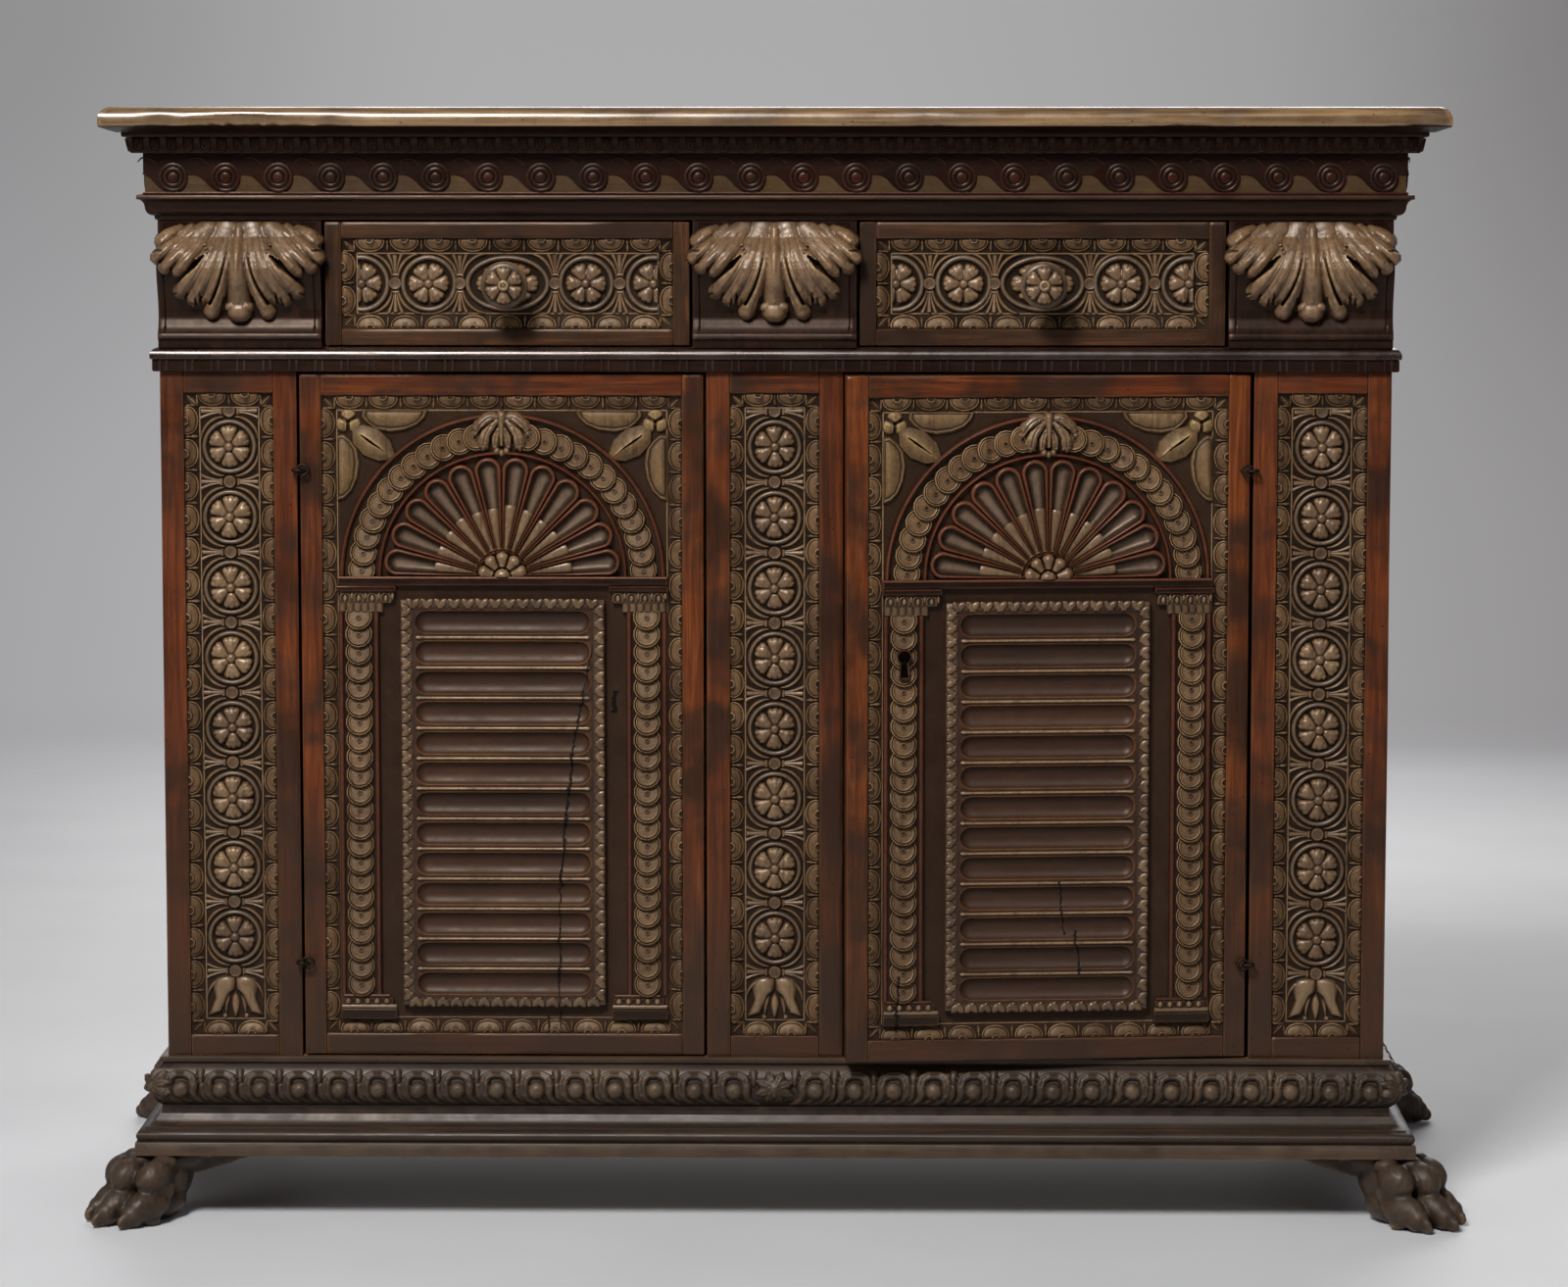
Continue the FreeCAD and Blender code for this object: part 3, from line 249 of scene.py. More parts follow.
def carvedFinish(name, look):
    finish, tree, shader = newFinish(name, look)
    place = put(tree, "ShaderNodeTexCoord").outputs["Object"]
    marks = groupNode(tree, wearAndShade, {"Vector": place, "Relief": attribute(tree, "relief")["Fac"],
                                   "Tint": attribute(tree, "tint")["Fac"], "Break": look["broken"]})
    grain = groupNode(tree, fibre, {"Vector": attribute(tree, "grain")["Vector"], "Along": 6.0, "Across": 160.0})
    years = groupNode(tree, age, {"Vector": place})
    # the colour follows the relief level: painted shade with dirt in hollows and grooves, painted highlight with
    # rubbed gilding on crests
    colour = ramp(tree, marks["Level"], look["levels"])
    bareFrom, bareTo, *bare = look["bare"]
    streak = plus(tree, grain["Streak"], times(tree, years["Grime"], 0.4))
    colour = wash(tree, colour, spread(tree, streak, bareFrom, bareTo), *bare)
    colour = wash(tree, colour, years["Low"], *look["low"])
    crack = groupNode(tree, split, {"Vector": place})["Crack"]
    colour = blend(tree, crack, colour, tone("#050302"))
    tree.links.new(colour, shader.inputs["Base Color"])
    tree.links.new(times(tree, marks["Rub"], look["metal"]), shader.inputs["Metallic"])
    dull = spread(tree, years["Grime"], 0.25, 0.8, look["gloss"], look["gloss"] + 0.2)
    tree.links.new(calc(tree, "MAXIMUM", dull, crack), shader.inputs["Roughness"])
    skin = plus(tree, times(tree, grain["Streak"], 0.5), times(tree, years["Grime"], 0.7))
    skin = plus(tree, skin, times(tree, cloud(tree, place, 340.0, 3.0, 0.6), look.get("chisel", 0.5)))
    skin = calc(tree, "SUBTRACT", skin, times(tree, crack, 3.0))
    bump(tree, shader, skin, look["bump"], 0.0012)
    return finish


walnutLook = {"along": 9.0, "across": 190.0,
              "streaks": fade("#2b1409 #48200e #5b2c13 #743f1e", 0.2, 0.42, 0.58, 0.8),
              "stain": (0.57, 0.8, 0.85, "#1c110b"), "low": (0.84, "#2c2018"), "edge": (0.3, "#8a5a34"),
              "holes": 1.0, "gloss": 0.3, "bump": 0.3}
darkLook = {"along": 6.0, "across": 140.0, "streaks": fade("#150e0a #2c2018 #423224", 0.25, 0.5, 0.75),
            "stain": (0.66, 0.95, 0.6, "#140d0a"), "low": (0.2, "#2a2019"), "edge": (0.3, "#6a523a"),
            "holes": 0.6, "gloss": 0.36, "bump": 0.3, "shine": 0.34, "sheen": (1.0, 0.92, 0.87)}
# very dark walnut for the cornice mouldings: its own dark tone, darkened further as painted shade under the top's
# overhang
corniceShadeLook = {"along": 6.0, "across": 150.0, "streaks": fade("#0a0402 #180a06 #29140c", 0.25, 0.5, 0.75),
               "stain": (0.7, 0.95, 0.6, "#0e0704"), "low": (0.0, "#33291f"),
               "edge": (0.12, "#6d452a"), "holes": 0.8, "gloss": 0.3, "bump": 0.25, "shine": 0.22}
topLook = {"along": 4.0, "across": 120.0,
           "streaks": fade("#33210f #5a4229 #7b6040 #9a7e5a", 0.25, 0.45, 0.62, 0.8),
           "stain": (0.58, 0.95, 0.8, "#22130a"), "low": (0.0, "#33291f"), "edge": (0.3, "#9d8260"), "holes": 0.8,
           "gloss": 0.21, "bump": 0.06, "shine": 0.8, "sheen": (1.0, 0.92, 0.85)}
plainLook = {"along": 3.0, "across": 55.0, "streaks": fade("#4a301c #6e4a2c #8a643f", 0.25, 0.5, 0.75),
             "stain": (0.7, 1.0, 0.5, "#3a2819"), "low": (0.2, "#3c3024"),
             "edge": (0.0, "#8a643f"), "holes": 0.8, "gloss": 0.6, "bump": 0.35}
gildLook = {"broken": 0.42, "levels": fade("#110904 #2a1b11 #46321f #604831 #836a4c", 0, 0.25, 0.5, 0.75, 1),
            "bare": (0.68, 0.92, 0.7, "#2c180e"), "low": (0.35, "#352619"),
            "metal": 0.2, "gloss": 0.31, "bump": 0.35, "shine": 0.6, "sheen": (1.0, 0.89, 0.78)}
redLook = {"broken": 0.4, "levels": fade("#0c0503 #210f08 #381b10 #553020", 0, 0.3, 0.65, 1),
           "bare": (0.7, 1.0, 0.5, "#170c07"), "low": (0.4, "#261a13"),
           "metal": 0.0, "gloss": 0.28, "bump": 0.3}
groundLook = {"broken": 0.35, "levels": fade("#0c0604 #26180f #3c2a1d #584332", 0, 0.3, 0.7, 1),
              "bare": (0.7, 0.98, 0.5, "#1e110a"), "low": (0.3, "#281d16"),
              "metal": 0.0, "gloss": 0.3, "bump": 0.3, "shine": 0.28}
fluteLook = {"broken": 0.3, "levels": fade("#0f0603 #2a160b #432816 #65462c", 0, 0.35, 0.7, 1),
             "bare": (0.7, 1.0, 0.5, "#1a100b"), "low": (0.3, "#291c14"),
             "metal": 0.0, "gloss": 0.43, "bump": 0.2, "shine": 0.36, "sheen": (1.0, 0.82, 0.68)}
pawLook = {"broken": 0.5, "levels": fade("#100a06 #2d2118 #433324 #6e573f", 0, 0.4, 0.7, 1),
           "bare": (0.75, 1.0, 0.4, "#38281a"), "low": (0.2, "#2d251f"),
           "metal": 0.0, "gloss": 0.4, "bump": 0.3, "shine": 0.3, "sheen": (1.0, 0.93, 0.88), "chisel": 1.0}

walnut = woodFinish("waxedWalnut", walnutLook)
sideWalnut = woodFinish("sideWalnut", {**walnutLook, "stain": (0.57, 0.9, 0.45, "#1c110b")})
darkWalnut = woodFinish("baseWalnut", darkLook)
corniceWalnutShaded = woodFinish("corniceWalnutShaded", corniceShadeLook)
topWalnut = woodFinish("rubbedTop", topLook)
plainWood = woodFinish("plainWood", plainLook, False)
gilding = carvedFinish("wornGilding", gildLook)
scaleGild = carvedFinish("dullGilding",
                         {**gildLook, "shine": 0.38, "gloss": 0.4, "metal": 0.1, "sheen": (1.0, 0.82, 0.62),
                          "levels": fade("#120a05 #2f1f13 #4f3924 #6c5138 #937856", 0, 0.25, 0.5, 0.75, 1)})
# a lighter, shinier copy of the gilding for the console leaves: brighter polish, and painted light on their
# protruding faces
leafGild = carvedFinish("brightGilding", {**gildLook, "shine": 0.7, "gloss": 0.36,
    "levels": fade("#120a05 #2e1e13 #4c3722 #694f36 #8f7453", 0, 0.25, 0.5, 0.75, 1)})
spandrelGild = carvedFinish("spandrelGilding", {**gildLook, "shine": 0.24, "gloss": 0.42,
    "levels": fade("#150b06 #302014 #4c3923 #675034 #8a714c", 0, 0.25, 0.5, 0.75, 1)})
redWood = carvedFinish("redRims", redLook)
groundWood = carvedFinish("carvedGround", groundLook)
# a darker copy of the carved ground for the pilaster and drawer panels: painted shade between the carvings
shadedGround = carvedFinish("shadedGround", {**groundLook,
    "levels": fade("#070402 #150c06 #23160e #3a2a1d", 0, 0.3, 0.7, 1)})
fluteWood = carvedFinish("flutedWalnut", fluteLook)
pawWood = carvedFinish("pawWalnut", pawLook)
stringWalnut = woodFinish("stringWalnut",
                          {**corniceShadeLook, "gloss": 0.22, "shine": 0.9, "sheen": (1.0, 0.86, 0.78)})
doorWalnut = woodFinish("doorWalnut", {**walnutLook,
    "streaks": fade("#28120a #471f0d #5b2c12 #7c431e", 0.2, 0.42, 0.58, 0.8)})
drawerWalnut = woodFinish("drawerWalnut", {**walnutLook, "low": (0.0, "#2c2018"),
    "streaks": fade("#1b110b #2d1c12 #3b2516 #623619", 0.2, 0.42, 0.6, 0.8)})
hollowWood = carvedFinish("shellHollows", {**groundLook,
    "levels": fade("#130b07 #382b20 #614f41 #756353", 0, 0.35, 0.7, 1)})
# the frieze's red, darkened as painted shade under the top's overhang
friezeRedShaded = carvedFinish("friezeRedShaded", {**redLook, "low": (0.0, "#261a13"), "shine": 0.22,
    "levels": fade("#050201 #100503 #1f0b06 #37180e", 0, 0.3, 0.65, 1)})
baseCarving = carvedFinish("baseCarving", {**pawLook,
    "levels": fade("#0c0704 #291d15 #382a1e #5c4936", 0, 0.35, 0.7, 1)})


def ironFinish():
    finish, tree, shader = newFinish("forgedIron", {})
    place = put(tree, "ShaderNodeTexCoord").outputs["Object"]
    pits = cloud(tree, place, 320.0, 4.0, 0.6)
    colour = ramp(tree, pits, fade("#0f0d0c #241f1c #463427", 0.3, 0.55, 0.8))
    tree.links.new(colour, shader.inputs["Base Color"])
    shader.inputs["Metallic"].default_value = 0.75
    tree.links.new(spread(tree, pits, 0.3, 0.8, 0.45, 0.75), shader.inputs["Roughness"])
    bump(tree, shader, pits, 0.4, 0.0006)
    return finish


# a near-black finish for the keyhole's shallow well: painted shade standing in for the open hole
def keyholeShadeFinish():
    finish, tree, shader = newFinish("keyholeShade", {"shine": 0.0})
    place = put(tree, "ShaderNodeTexCoord").outputs["Object"]
    colour = ramp(tree, cloud(tree, place, 200.0, 2.0), fade("#030202 #0d0906", 0.3, 0.8))
    tree.links.new(colour, shader.inputs["Base Color"])
    shader.inputs["Roughness"].default_value = 0.9
    return finish


iron = ironFinish()
keyholeShade = keyholeShadeFinish()
print("finishes made:", len(bpy.data.materials))


# forms: points in mm as (across, up, out), faces, relief, tint, grain and finish
def form(points, faces, relief, finish, tint=None, grain=None):
    points = np.asarray(points, float).reshape(-1, 3)
    count = len(points)
    relief = np.broadcast_to(np.asarray(relief, float), (count,)).copy()
    tint = np.zeros(count) if tint is None else np.broadcast_to(np.asarray(tint, float), (count,)).copy()
    grain = points[:, [1, 0, 2]].copy() if grain is None else np.asarray(grain, float)
    return {"points": points, "faces": [tuple(int(i) for i in f) for f in faces], "relief": relief, "tint": tint,
            "grain": grain, "finish": [finish] * len(faces)}


def joined(*forms):
    forms = [f for f in forms if len(f["points"])]
    starts = np.cumsum([0] + [len(f["points"]) for f in forms])
    whole = {key: np.concatenate([f[key] for f in forms]) for key in ("points", "relief", "tint", "grain")}
    whole["faces"] = [tuple(i + start for i in face) for f, start in zip(forms, starts) for face in f["faces"]]
    whole["finish"] = [finish for f in forms for finish in f["finish"]]
    return whole


def moved(source, across=0.0, up=0.0, out=0.0, turn=0.0, size=(1, 1, 1)):
    c, s = math.cos(math.radians(turn)), math.sin(math.radians(turn))
    points = source["points"] * np.array(size, float)
    points = np.column_stack([points[:, 0] * c - points[:, 1] * s, points[:, 0] * s + points[:, 1] * c,
                              points[:, 2]])
    made = dict(source)
    made["points"] = points + np.array([across, up, out], float)
    made["grain"] = made["points"][:, [1, 0, 2]].copy()
    if np.prod(size) < 0:
        made["faces"] = [face[::-1] for face in source["faces"]]
    return made


def mirrored(source):  # a half with its other half
    return joined(source, moved(source, size=(-1, 1, 1)))


def rectangle(left, low, right, high):
    return [(left, low), (right, low), (right, high), (left, high)]


def ray(turn):  # a unit step at an angle in degrees
    return np.array([math.cos(math.radians(turn)), math.sin(math.radians(turn))])


def ringFaces(rings, count, closed=True):
    steps = count if closed else count - 1
    return [(k * count + i, k * count + (i + 1) % count, (k + 1) * count + (i + 1) % count, (k + 1) * count + i)
            for k in range(rings - 1) for i in range(steps)]


def loft(outline, spine, steps, finish, lift=None):
    outline = np.asarray(outline, float)
    spine = np.broadcast_to(np.asarray(spine, float), outline.shape)
    points, relief = [], []
    for share, height, level in steps:
        flat = outline * (1 - share) + spine * share
        rise = height + (lift(flat) if lift else 0)
        points.append(np.column_stack([flat, np.broadcast_to(rise, (len(flat),))]))
        relief.append(np.full(len(flat), level))
    return form(np.concatenate(points), ringFaces(len(steps), len(outline)), np.concatenate(relief), finish)


def turnedForm(profile, count, finish, start=0.0, sweep=360.0):  # profile of (radius, out, relief), outside first
    full = sweep >= 360
    angles = np.radians(start + sweep * np.arange(count) / (count if full else count - 1))
    points = [(r * math.cos(a), r * math.sin(a), w) for r, w, _ in profile for a in angles]
    relief = [level for _, _, level in profile for _ in angles]
    return form(points, ringFaces(len(profile), count, full), relief, finish)


def bead(path, radius, finish, sides=5, level=(0.2, 1.0), base=0.0, high=1.0):
    # a half-round rib along a path of (across, up) points, with flat ends
    path = np.asarray(path, float)
    radius = np.broadcast_to(np.asarray(radius, float), (len(path),))
    run = np.gradient(path, axis=0)
    run /= np.linalg.norm(run, axis=1)[:, None]
    side = np.column_stack([run[:, 1], -run[:, 0]])
    angles = np.linspace(0, math.pi, sides + 1)
    points, relief = [], []
    for i in range(len(path)):
        for a in angles:
            at = path[i] + side[i] * radius[i] * math.cos(a)
            points.append((at[0], at[1], base + high * radius[i] * math.sin(a)))
            relief.append(level[0] + (level[1] - level[0]) * math.sin(a))
    count = len(angles)
    faces = [(i * count + k, (i + 1) * count + k, (i + 1) * count + k + 1, i * count + k + 1)
             for i in range(len(path) - 1) for k in range(sides)]
    faces += [tuple(range(count)), tuple(range(len(points) - 1, len(points) - count - 1, -1))]
    return form(points, faces, relief, finish)


def sheet(points, relief, finish):  # an open grid of points
    points = np.asarray(points, float)
    faces = ringFaces(*points.shape[:2], False)
    return form(points.reshape(-1, 3), faces, np.asarray(relief, float).reshape(-1), finish)


def curved(start, bow, end, count):  # a bent path between two places
    t = np.linspace(0, 1, count)[:, None]
    return np.array(start) * (1 - t) ** 2 + 2 * np.array(bow) * t * (1 - t) + np.array(end) * t ** 2


def arc(radius, start, end, count, centre=(0, 0)):
    angles = np.radians(np.linspace(start, end, count))
    return np.column_stack([centre[0] + radius * np.cos(angles), centre[1] + radius * np.sin(angles)])


def stroke(path, radii, heights, size=1.0, way=(1, 1)):  # one rounded stroke or groove of a carved field
    path = np.array(path, float) * np.array(way)
    return path, *(np.broadcast_to(np.asarray(v, float) * size, (len(path),)) for v in (radii, heights))


def strokeHeight(gx, gy, path, radii, heights):
    total = np.zeros(gx.shape)
    for k in range(len(path) - 1):
        way = path[k + 1] - path[k]
        x, y = gx - path[k][0], gy - path[k][1]
        t = np.clip((x * way[0] + y * way[1]) / max(way @ way, 1e-9), 0, 1)
        away = np.hypot(x - t * way[0], y - t * way[1])
        radius = radii[k] + (radii[k + 1] - radii[k]) * t
        peak = heights[k] + (heights[k + 1] - heights[k]) * t
        total = np.maximum(total, peak * np.sqrt(np.clip(1 - (away / radius) ** 2, 0, 1)))
    return total


def carvedField(strokes, low, high, cell, finish, lift=None, grooves=()):
    # a relief of rounded strokes, each (path, radii, heights), with grooves cut into it
    gx, gy = np.meshgrid(np.arange(low[0], high[0] + cell, cell), np.arange(low[1], high[1] + cell, cell))
    rise = np.zeros(gx.shape)
    for path, radii, heights in strokes:
        rise = np.maximum(rise, strokeHeight(gx, gy, path, radii, heights))
    solid = rise > 0.05
    for path, radii, depths in grooves:
        rise = rise - strokeHeight(gx, gy, path, radii, depths) * solid
    rise = np.where(solid, np.maximum(rise, 0.1), 0)
    # the level darkens hollows and grooves and lightens crests and high places: painted shade and painted
    # highlight, with rubbed gilding
    blurred = rise
    for _ in range(3):
        padded = np.pad(blurred, 1, mode="edge")
        blurred = sum(padded[i:i + gx.shape[0], j:j + gx.shape[1]] for i in range(3) for j in range(3)) / 9
    level = 0.45 + (rise - blurred) / max(rise.max(), 1) * 2.2 + 0.25 * rise / max(rise.max(), 1)
    out = np.where(solid, rise, -0.4) + (lift(gx, gy) if lift else 0)
    keep = solid[:-1, :-1] | solid[1:, :-1] | solid[:-1, 1:] | solid[1:, 1:]
    rows, columns = np.nonzero(keep)
    wide = gx.shape[1]
    corner = rows * wide + columns
    faces = np.column_stack([corner, corner + 1, corner + 1 + wide, corner + wide])
    used, back = np.unique(faces, return_inverse=True)
    points = np.column_stack([gx.ravel(), gy.ravel(), out.ravel()])[used]
    return form(points, back.reshape(-1, 4), np.where(solid, level, 0).ravel()[used], finish)


def ripple(points, scale, seed):  # smooth deterministic unevenness from a few waves
    rng = np.random.default_rng(seed)
    total = np.zeros(len(points))
    for _ in range(6):
        way = rng.normal(size=3) * scale
        total += np.sin(points @ way + rng.uniform(0, 6.28)) / 6
    return total


def cuts(length, edge, step):
    inner = np.linspace(edge, length - edge, max(2, int(round((length - 2 * edge) / step)) + 1))
    return np.concatenate([[0, min(0.8, edge / 3)], inner, [length - min(0.8, edge / 3), length]])


def board(low, high, finish, along=1, seed=0, rounding=0.8, edge=4.0, step=38.0, wobble=0.25):
    # a worn plank: softened arrises, slightly uneven, with its own grain and tone
    low, high = np.array(low, float), np.array(high, float)
    size = high - low
    lists = [cuts(size[k], min(edge, size[k] / 3), step) for k in range(3)]
    points, faces, index = [], [], {}

    def at(i, j, k):
        if (i, j, k) not in index:
            index[(i, j, k)] = len(points)
            points.append((lists[0][i], lists[1][j], lists[2][k]))
        return index[(i, j, k)]

    n = [len(item) for item in lists]
    for axis in range(3):
        a, b = (axis + 1) % 3, (axis + 2) % 3
        for end in (0, n[axis] - 1):
            for i in range(n[a] - 1):
                for j in range(n[b] - 1):
                    ring = []
                    for p, q in ((i, j), (i + 1, j), (i + 1, j + 1), (i, j + 1)):
                        spot = [0, 0, 0]
                        spot[axis], spot[a], spot[b] = end, p, q
                        ring.append(at(*spot))
                    faces.append(tuple(ring if end else ring[::-1]))
    points = np.array(points)
    reach = np.sort(np.minimum(points, size - points), axis=1)
    near = reach[:, 1]  # distance to the nearest arris
    atEnd = (np.minimum(points, size - points) < 1e-6)
    pull = (atEnd.sum(axis=1) >= 2)[:, None] * atEnd * rounding * 0.42
    points = points + np.where(points < size / 2, pull, -pull)
    shift = ripple(points + low, 0.02, seed + 3) * wobble
    outward = np.where(atEnd, 1, 0) * np.where(points < size / 2, -1, 1)
    points = points + outward * (shift[:, None] - wobble * 0.9)
    relief = np.clip(1 - near / edge, 0, 1)
    rng = np.random.default_rng(seed)
    grain = np.roll(points + low, -along, axis=1) + rng.uniform(-900, 900, 3)
    return form(points + low, faces, relief, finish, rng.uniform(-1, 1), grain)


def addLayer(mesh, label, values):
    kind, field = ("FLOAT_VECTOR", "vector") if values.ndim > 1 else ("FLOAT", "value")
    mesh.attributes.new(label, kind, "POINT").data.foreach_set(field, values.astype(np.float32).ravel())


def meshOf(source, name):
    mesh = bpy.data.meshes.new(name)
    points = source["points"][:, [0, 2, 1]] * np.array([mm, -mm, mm])
    mesh.from_pydata(points.tolist(), [], source["faces"])
    for label in ("relief", "tint"):
        addLayer(mesh, label, source[label])
    addLayer(mesh, "grain", source["grain"] * mm)
    finishes = []
    for finish in source["finish"]:
        if finish not in finishes:
            finishes.append(finish)
    for finish in finishes:
        mesh.materials.append(finish)
    mesh.polygons.foreach_set("material_index", [finishes.index(f) for f in source["finish"]])
    work = bmesh.new()
    work.from_mesh(mesh)
    bmesh.ops.remove_doubles(work, verts=work.verts, dist=0.00002)
    bmesh.ops.dissolve_degenerate(work, edges=work.edges, dist=0.000005)
    work.to_mesh(mesh)
    work.free()
    mesh.shade_smooth()
    mesh.set_sharp_from_angle(angle=math.radians(52))
    return mesh


# one tree sets a motif on marked spots, each a little uneven
def buildRowTree():
    tree = bpy.data.node_groups.new("carvedRow", "GeometryNodeTree")
    sockets = (("Spots", "Geometry"), ("Motif", "Object"), ("Turn unevenness", "Float"),
               ("Size unevenness", "Float"), ("Seed", "Int"), ("Finish", "Material"))
    for label, kind in sockets:
        tree.interface.new_socket(label, in_out="INPUT", socket_type="NodeSocket" + kind)
    tree.interface.new_socket("Carving", in_out="OUTPUT", socket_type="NodeSocketGeometry")
    given = tree.nodes.new("NodeGroupInput").outputs
    facing, size = (put(tree, "GeometryNodeInputNamedAttribute", {"Name": name},
                        data_type="FLOAT_VECTOR").outputs[0] for name in ("facing", "size"))
    motif = put(tree, "GeometryNodeObjectInfo", {"Object": given["Motif"], "As Instance": True})
    minus = times(tree, given["Turn unevenness"], -1.0)
    sway = put(tree, "FunctionNodeRandomValue", {0: minus, 1: given["Turn unevenness"], "Seed": given["Seed"]},
               data_type="FLOAT_VECTOR")
    turn = put(tree, "ShaderNodeVectorMath", {0: facing, 1: sway.outputs[0]}, operation="ADD").outputs[0]
    rotation = put(tree, "FunctionNodeEulerToRotation", {0: turn}).outputs[0]
    low = calc(tree, "SUBTRACT", 1.0, given["Size unevenness"])
    grow = put(tree, "FunctionNodeRandomValue", {2: low, 3: 1.0, "Seed": given["Seed"]}, data_type="FLOAT")
    scale = put(tree, "ShaderNodeVectorMath", {0: size, "Scale": grow.outputs[1]}, operation="SCALE").outputs[0]
    spots = put(tree, "GeometryNodeInstanceOnPoints",
                {"Points": given["Spots"], "Instance": motif.outputs["Geometry"], "Rotation": rotation,
                 "Scale": scale})
    shade = put(tree, "FunctionNodeRandomValue", {2: -1.0, 3: 1.0, "Seed": given["Seed"]}, data_type="FLOAT")
    mark = put(tree, "GeometryNodeStoreNamedAttribute",
               {"Geometry": spots.outputs[0], "Name": "tint", "Value": shade.outputs[1]}, data_type="FLOAT",
               domain="INSTANCE")
    real = put(tree, "GeometryNodeRealizeInstances", {"Geometry": mark.outputs[0]})
    dressed = put(tree, "GeometryNodeSetMaterial", {"Geometry": real.outputs[0], "Material": given["Finish"]})
    tree.links.new(dressed.outputs[0], tree.nodes.new("NodeGroupOutput").inputs[0])
    return tree


rowTree = buildRowTree()
rowSockets = {item.name: item.identifier for item in rowTree.interface.items_tree if item.in_out == "INPUT"}


def placed(name, data):
    thing = bpy.data.objects.new(name, data)
    scene.collection.objects.link(thing)
    return thing


motifs = []


def motif(name, source):
    mesh = meshOf(source, name)
    mesh.attributes.remove(mesh.attributes["tint"])
    motifs.append(bpy.data.objects.new(name, mesh))
    return motifs[-1]


def vectorsOf(mesh, label="co"):
    values = np.zeros(len(mesh.vertices) * 3)
    mesh.vertices.foreach_get(label, values)
    return values.reshape(-1, 3)


def readForm(mesh, finish):  # a mesh back to a form, without its tint
    points = vectorsOf(mesh)[:, [0, 2, 1]] * np.array([1, 1, -1]) / mm
    level = np.zeros(len(points))
    mesh.attributes["relief"].data.foreach_get("value", level)
    return form(points, [tuple(p.vertices) for p in mesh.polygons], level, finish)


def row(shape, spots, finish, uneven=0.02, shrink=0.04, seed=1):
    # spots: (across, up, out, turn, tilt, yaw, size)
    spots = [tuple(s) + (0, 0, 0, 0, 0, 0, 1)[len(s):] for s in spots]
    mesh = bpy.data.meshes.new("spots")
    mesh.from_pydata([(s[0] * mm, -s[2] * mm, s[1] * mm) for s in spots], [], [])
    turns = [(math.radians(s[4]), -math.radians(s[3]), math.radians(s[5])) for s in spots]
    addLayer(mesh, "facing", np.array(turns))
    addLayer(mesh, "size", np.array([s[6] if isinstance(s[6], tuple) else (s[6],) * 3 for s in spots], float))
    holder = placed("rowSpots", mesh)
    modifier = holder.modifiers.new("carvedRow", "NODES")
    modifier.node_group = rowTree
    settings = {"Motif": shape, "Turn unevenness": uneven, "Size unevenness": shrink, "Seed": seed,
                "Finish": finish}
    for label, value in settings.items():
        modifier[rowSockets[label]] = value
    graph = bpy.context.evaluated_depsgraph_get()
    carved = bpy.data.meshes.new_from_object(holder.evaluated_get(graph), preserve_all_data_layers=True,
                                             depsgraph=graph)
    holder.modifiers.remove(modifier)
    bpy.data.objects.remove(holder)
    made = readForm(carved, finish)
    carved.attributes["tint"].data.foreach_get("value", made["tint"])
    bpy.data.meshes.remove(carved)
    return made


def hollows(mesh, span):  # relief from how far a point stands out of its neighbours, used to paint shade into hollows and lighten bumps
    count = len(mesh.vertices)
    points, normals = vectorsOf(mesh), vectorsOf(mesh, "normal")
    ends = np.zeros(len(mesh.edges) * 2, int)
    mesh.edges.foreach_get("vertices", ends)
    a, b = ends[0::2], ends[1::2]
    many = np.maximum(np.bincount(a, minlength=count) + np.bincount(b, minlength=count), 1)

    def around(values):
        total = np.zeros_like(values)
        np.add.at(total, a, values[b])
        np.add.at(total, b, values[a])
        return total / (many[:, None] if values.ndim > 1 else many)

    smooth = points
    for _ in range(span):
        smooth = around(smooth)
    return around(((points - smooth) * normals).sum(axis=1))


def piece(name, source, body, at=(0, 0, 0), nodes=(), swing=None, mesh=None):
    mesh = mesh or meshOf(source, name)
    mesh.transform(Matrix.Translation(Vector(at)))
    if swing is not None:
        mesh.transform(swing)
    thing = placed(name, mesh)
    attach(thing, body)
    if nodes:
        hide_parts(*nodes)
    return thing


def dress(finish, *names):  # a CAD piece that stays, with a better finish
    for name in names:
        mesh = frame["nodes"][name].data
        mesh.materials.clear()
        mesh.materials.append(finish)


# the case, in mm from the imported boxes
caseLow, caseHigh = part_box("cupboard_floor")
front, back, half = caseLow.y / mm, caseHigh.y / mm, caseHigh.x / mm
pilasterLow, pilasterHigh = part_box("left_pilaster_frame")
doorLow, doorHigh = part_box("left_door_frame")
drawerLow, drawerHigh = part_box("left_drawer_frame")
hinges = {joint["child"]: joint for joint in frame["joints"]}
hingeAt = Vector(hinges["right_door"]["pos_m"])
ajar = math.radians(-hinges["right_door"]["range_deg"][0])
swingRight = Matrix.Translation(hingeAt) @ Matrix.Rotation(ajar, 4, "Z") @ Matrix.Translation(-hingeAt)
doorWidth = (doorHigh.x - doorLow.x) / mm
doorHeight = (doorHigh.z - doorLow.z) / mm
recess, boardThick = 8.0, 25.0

# carved motifs
border = {"width": 14.0, "rise": 3.6, "pitch": 31.4}


def slope(flat):
    return border["rise"] * np.clip(1 - flat[:, 1] / border["width"], 0, 1)


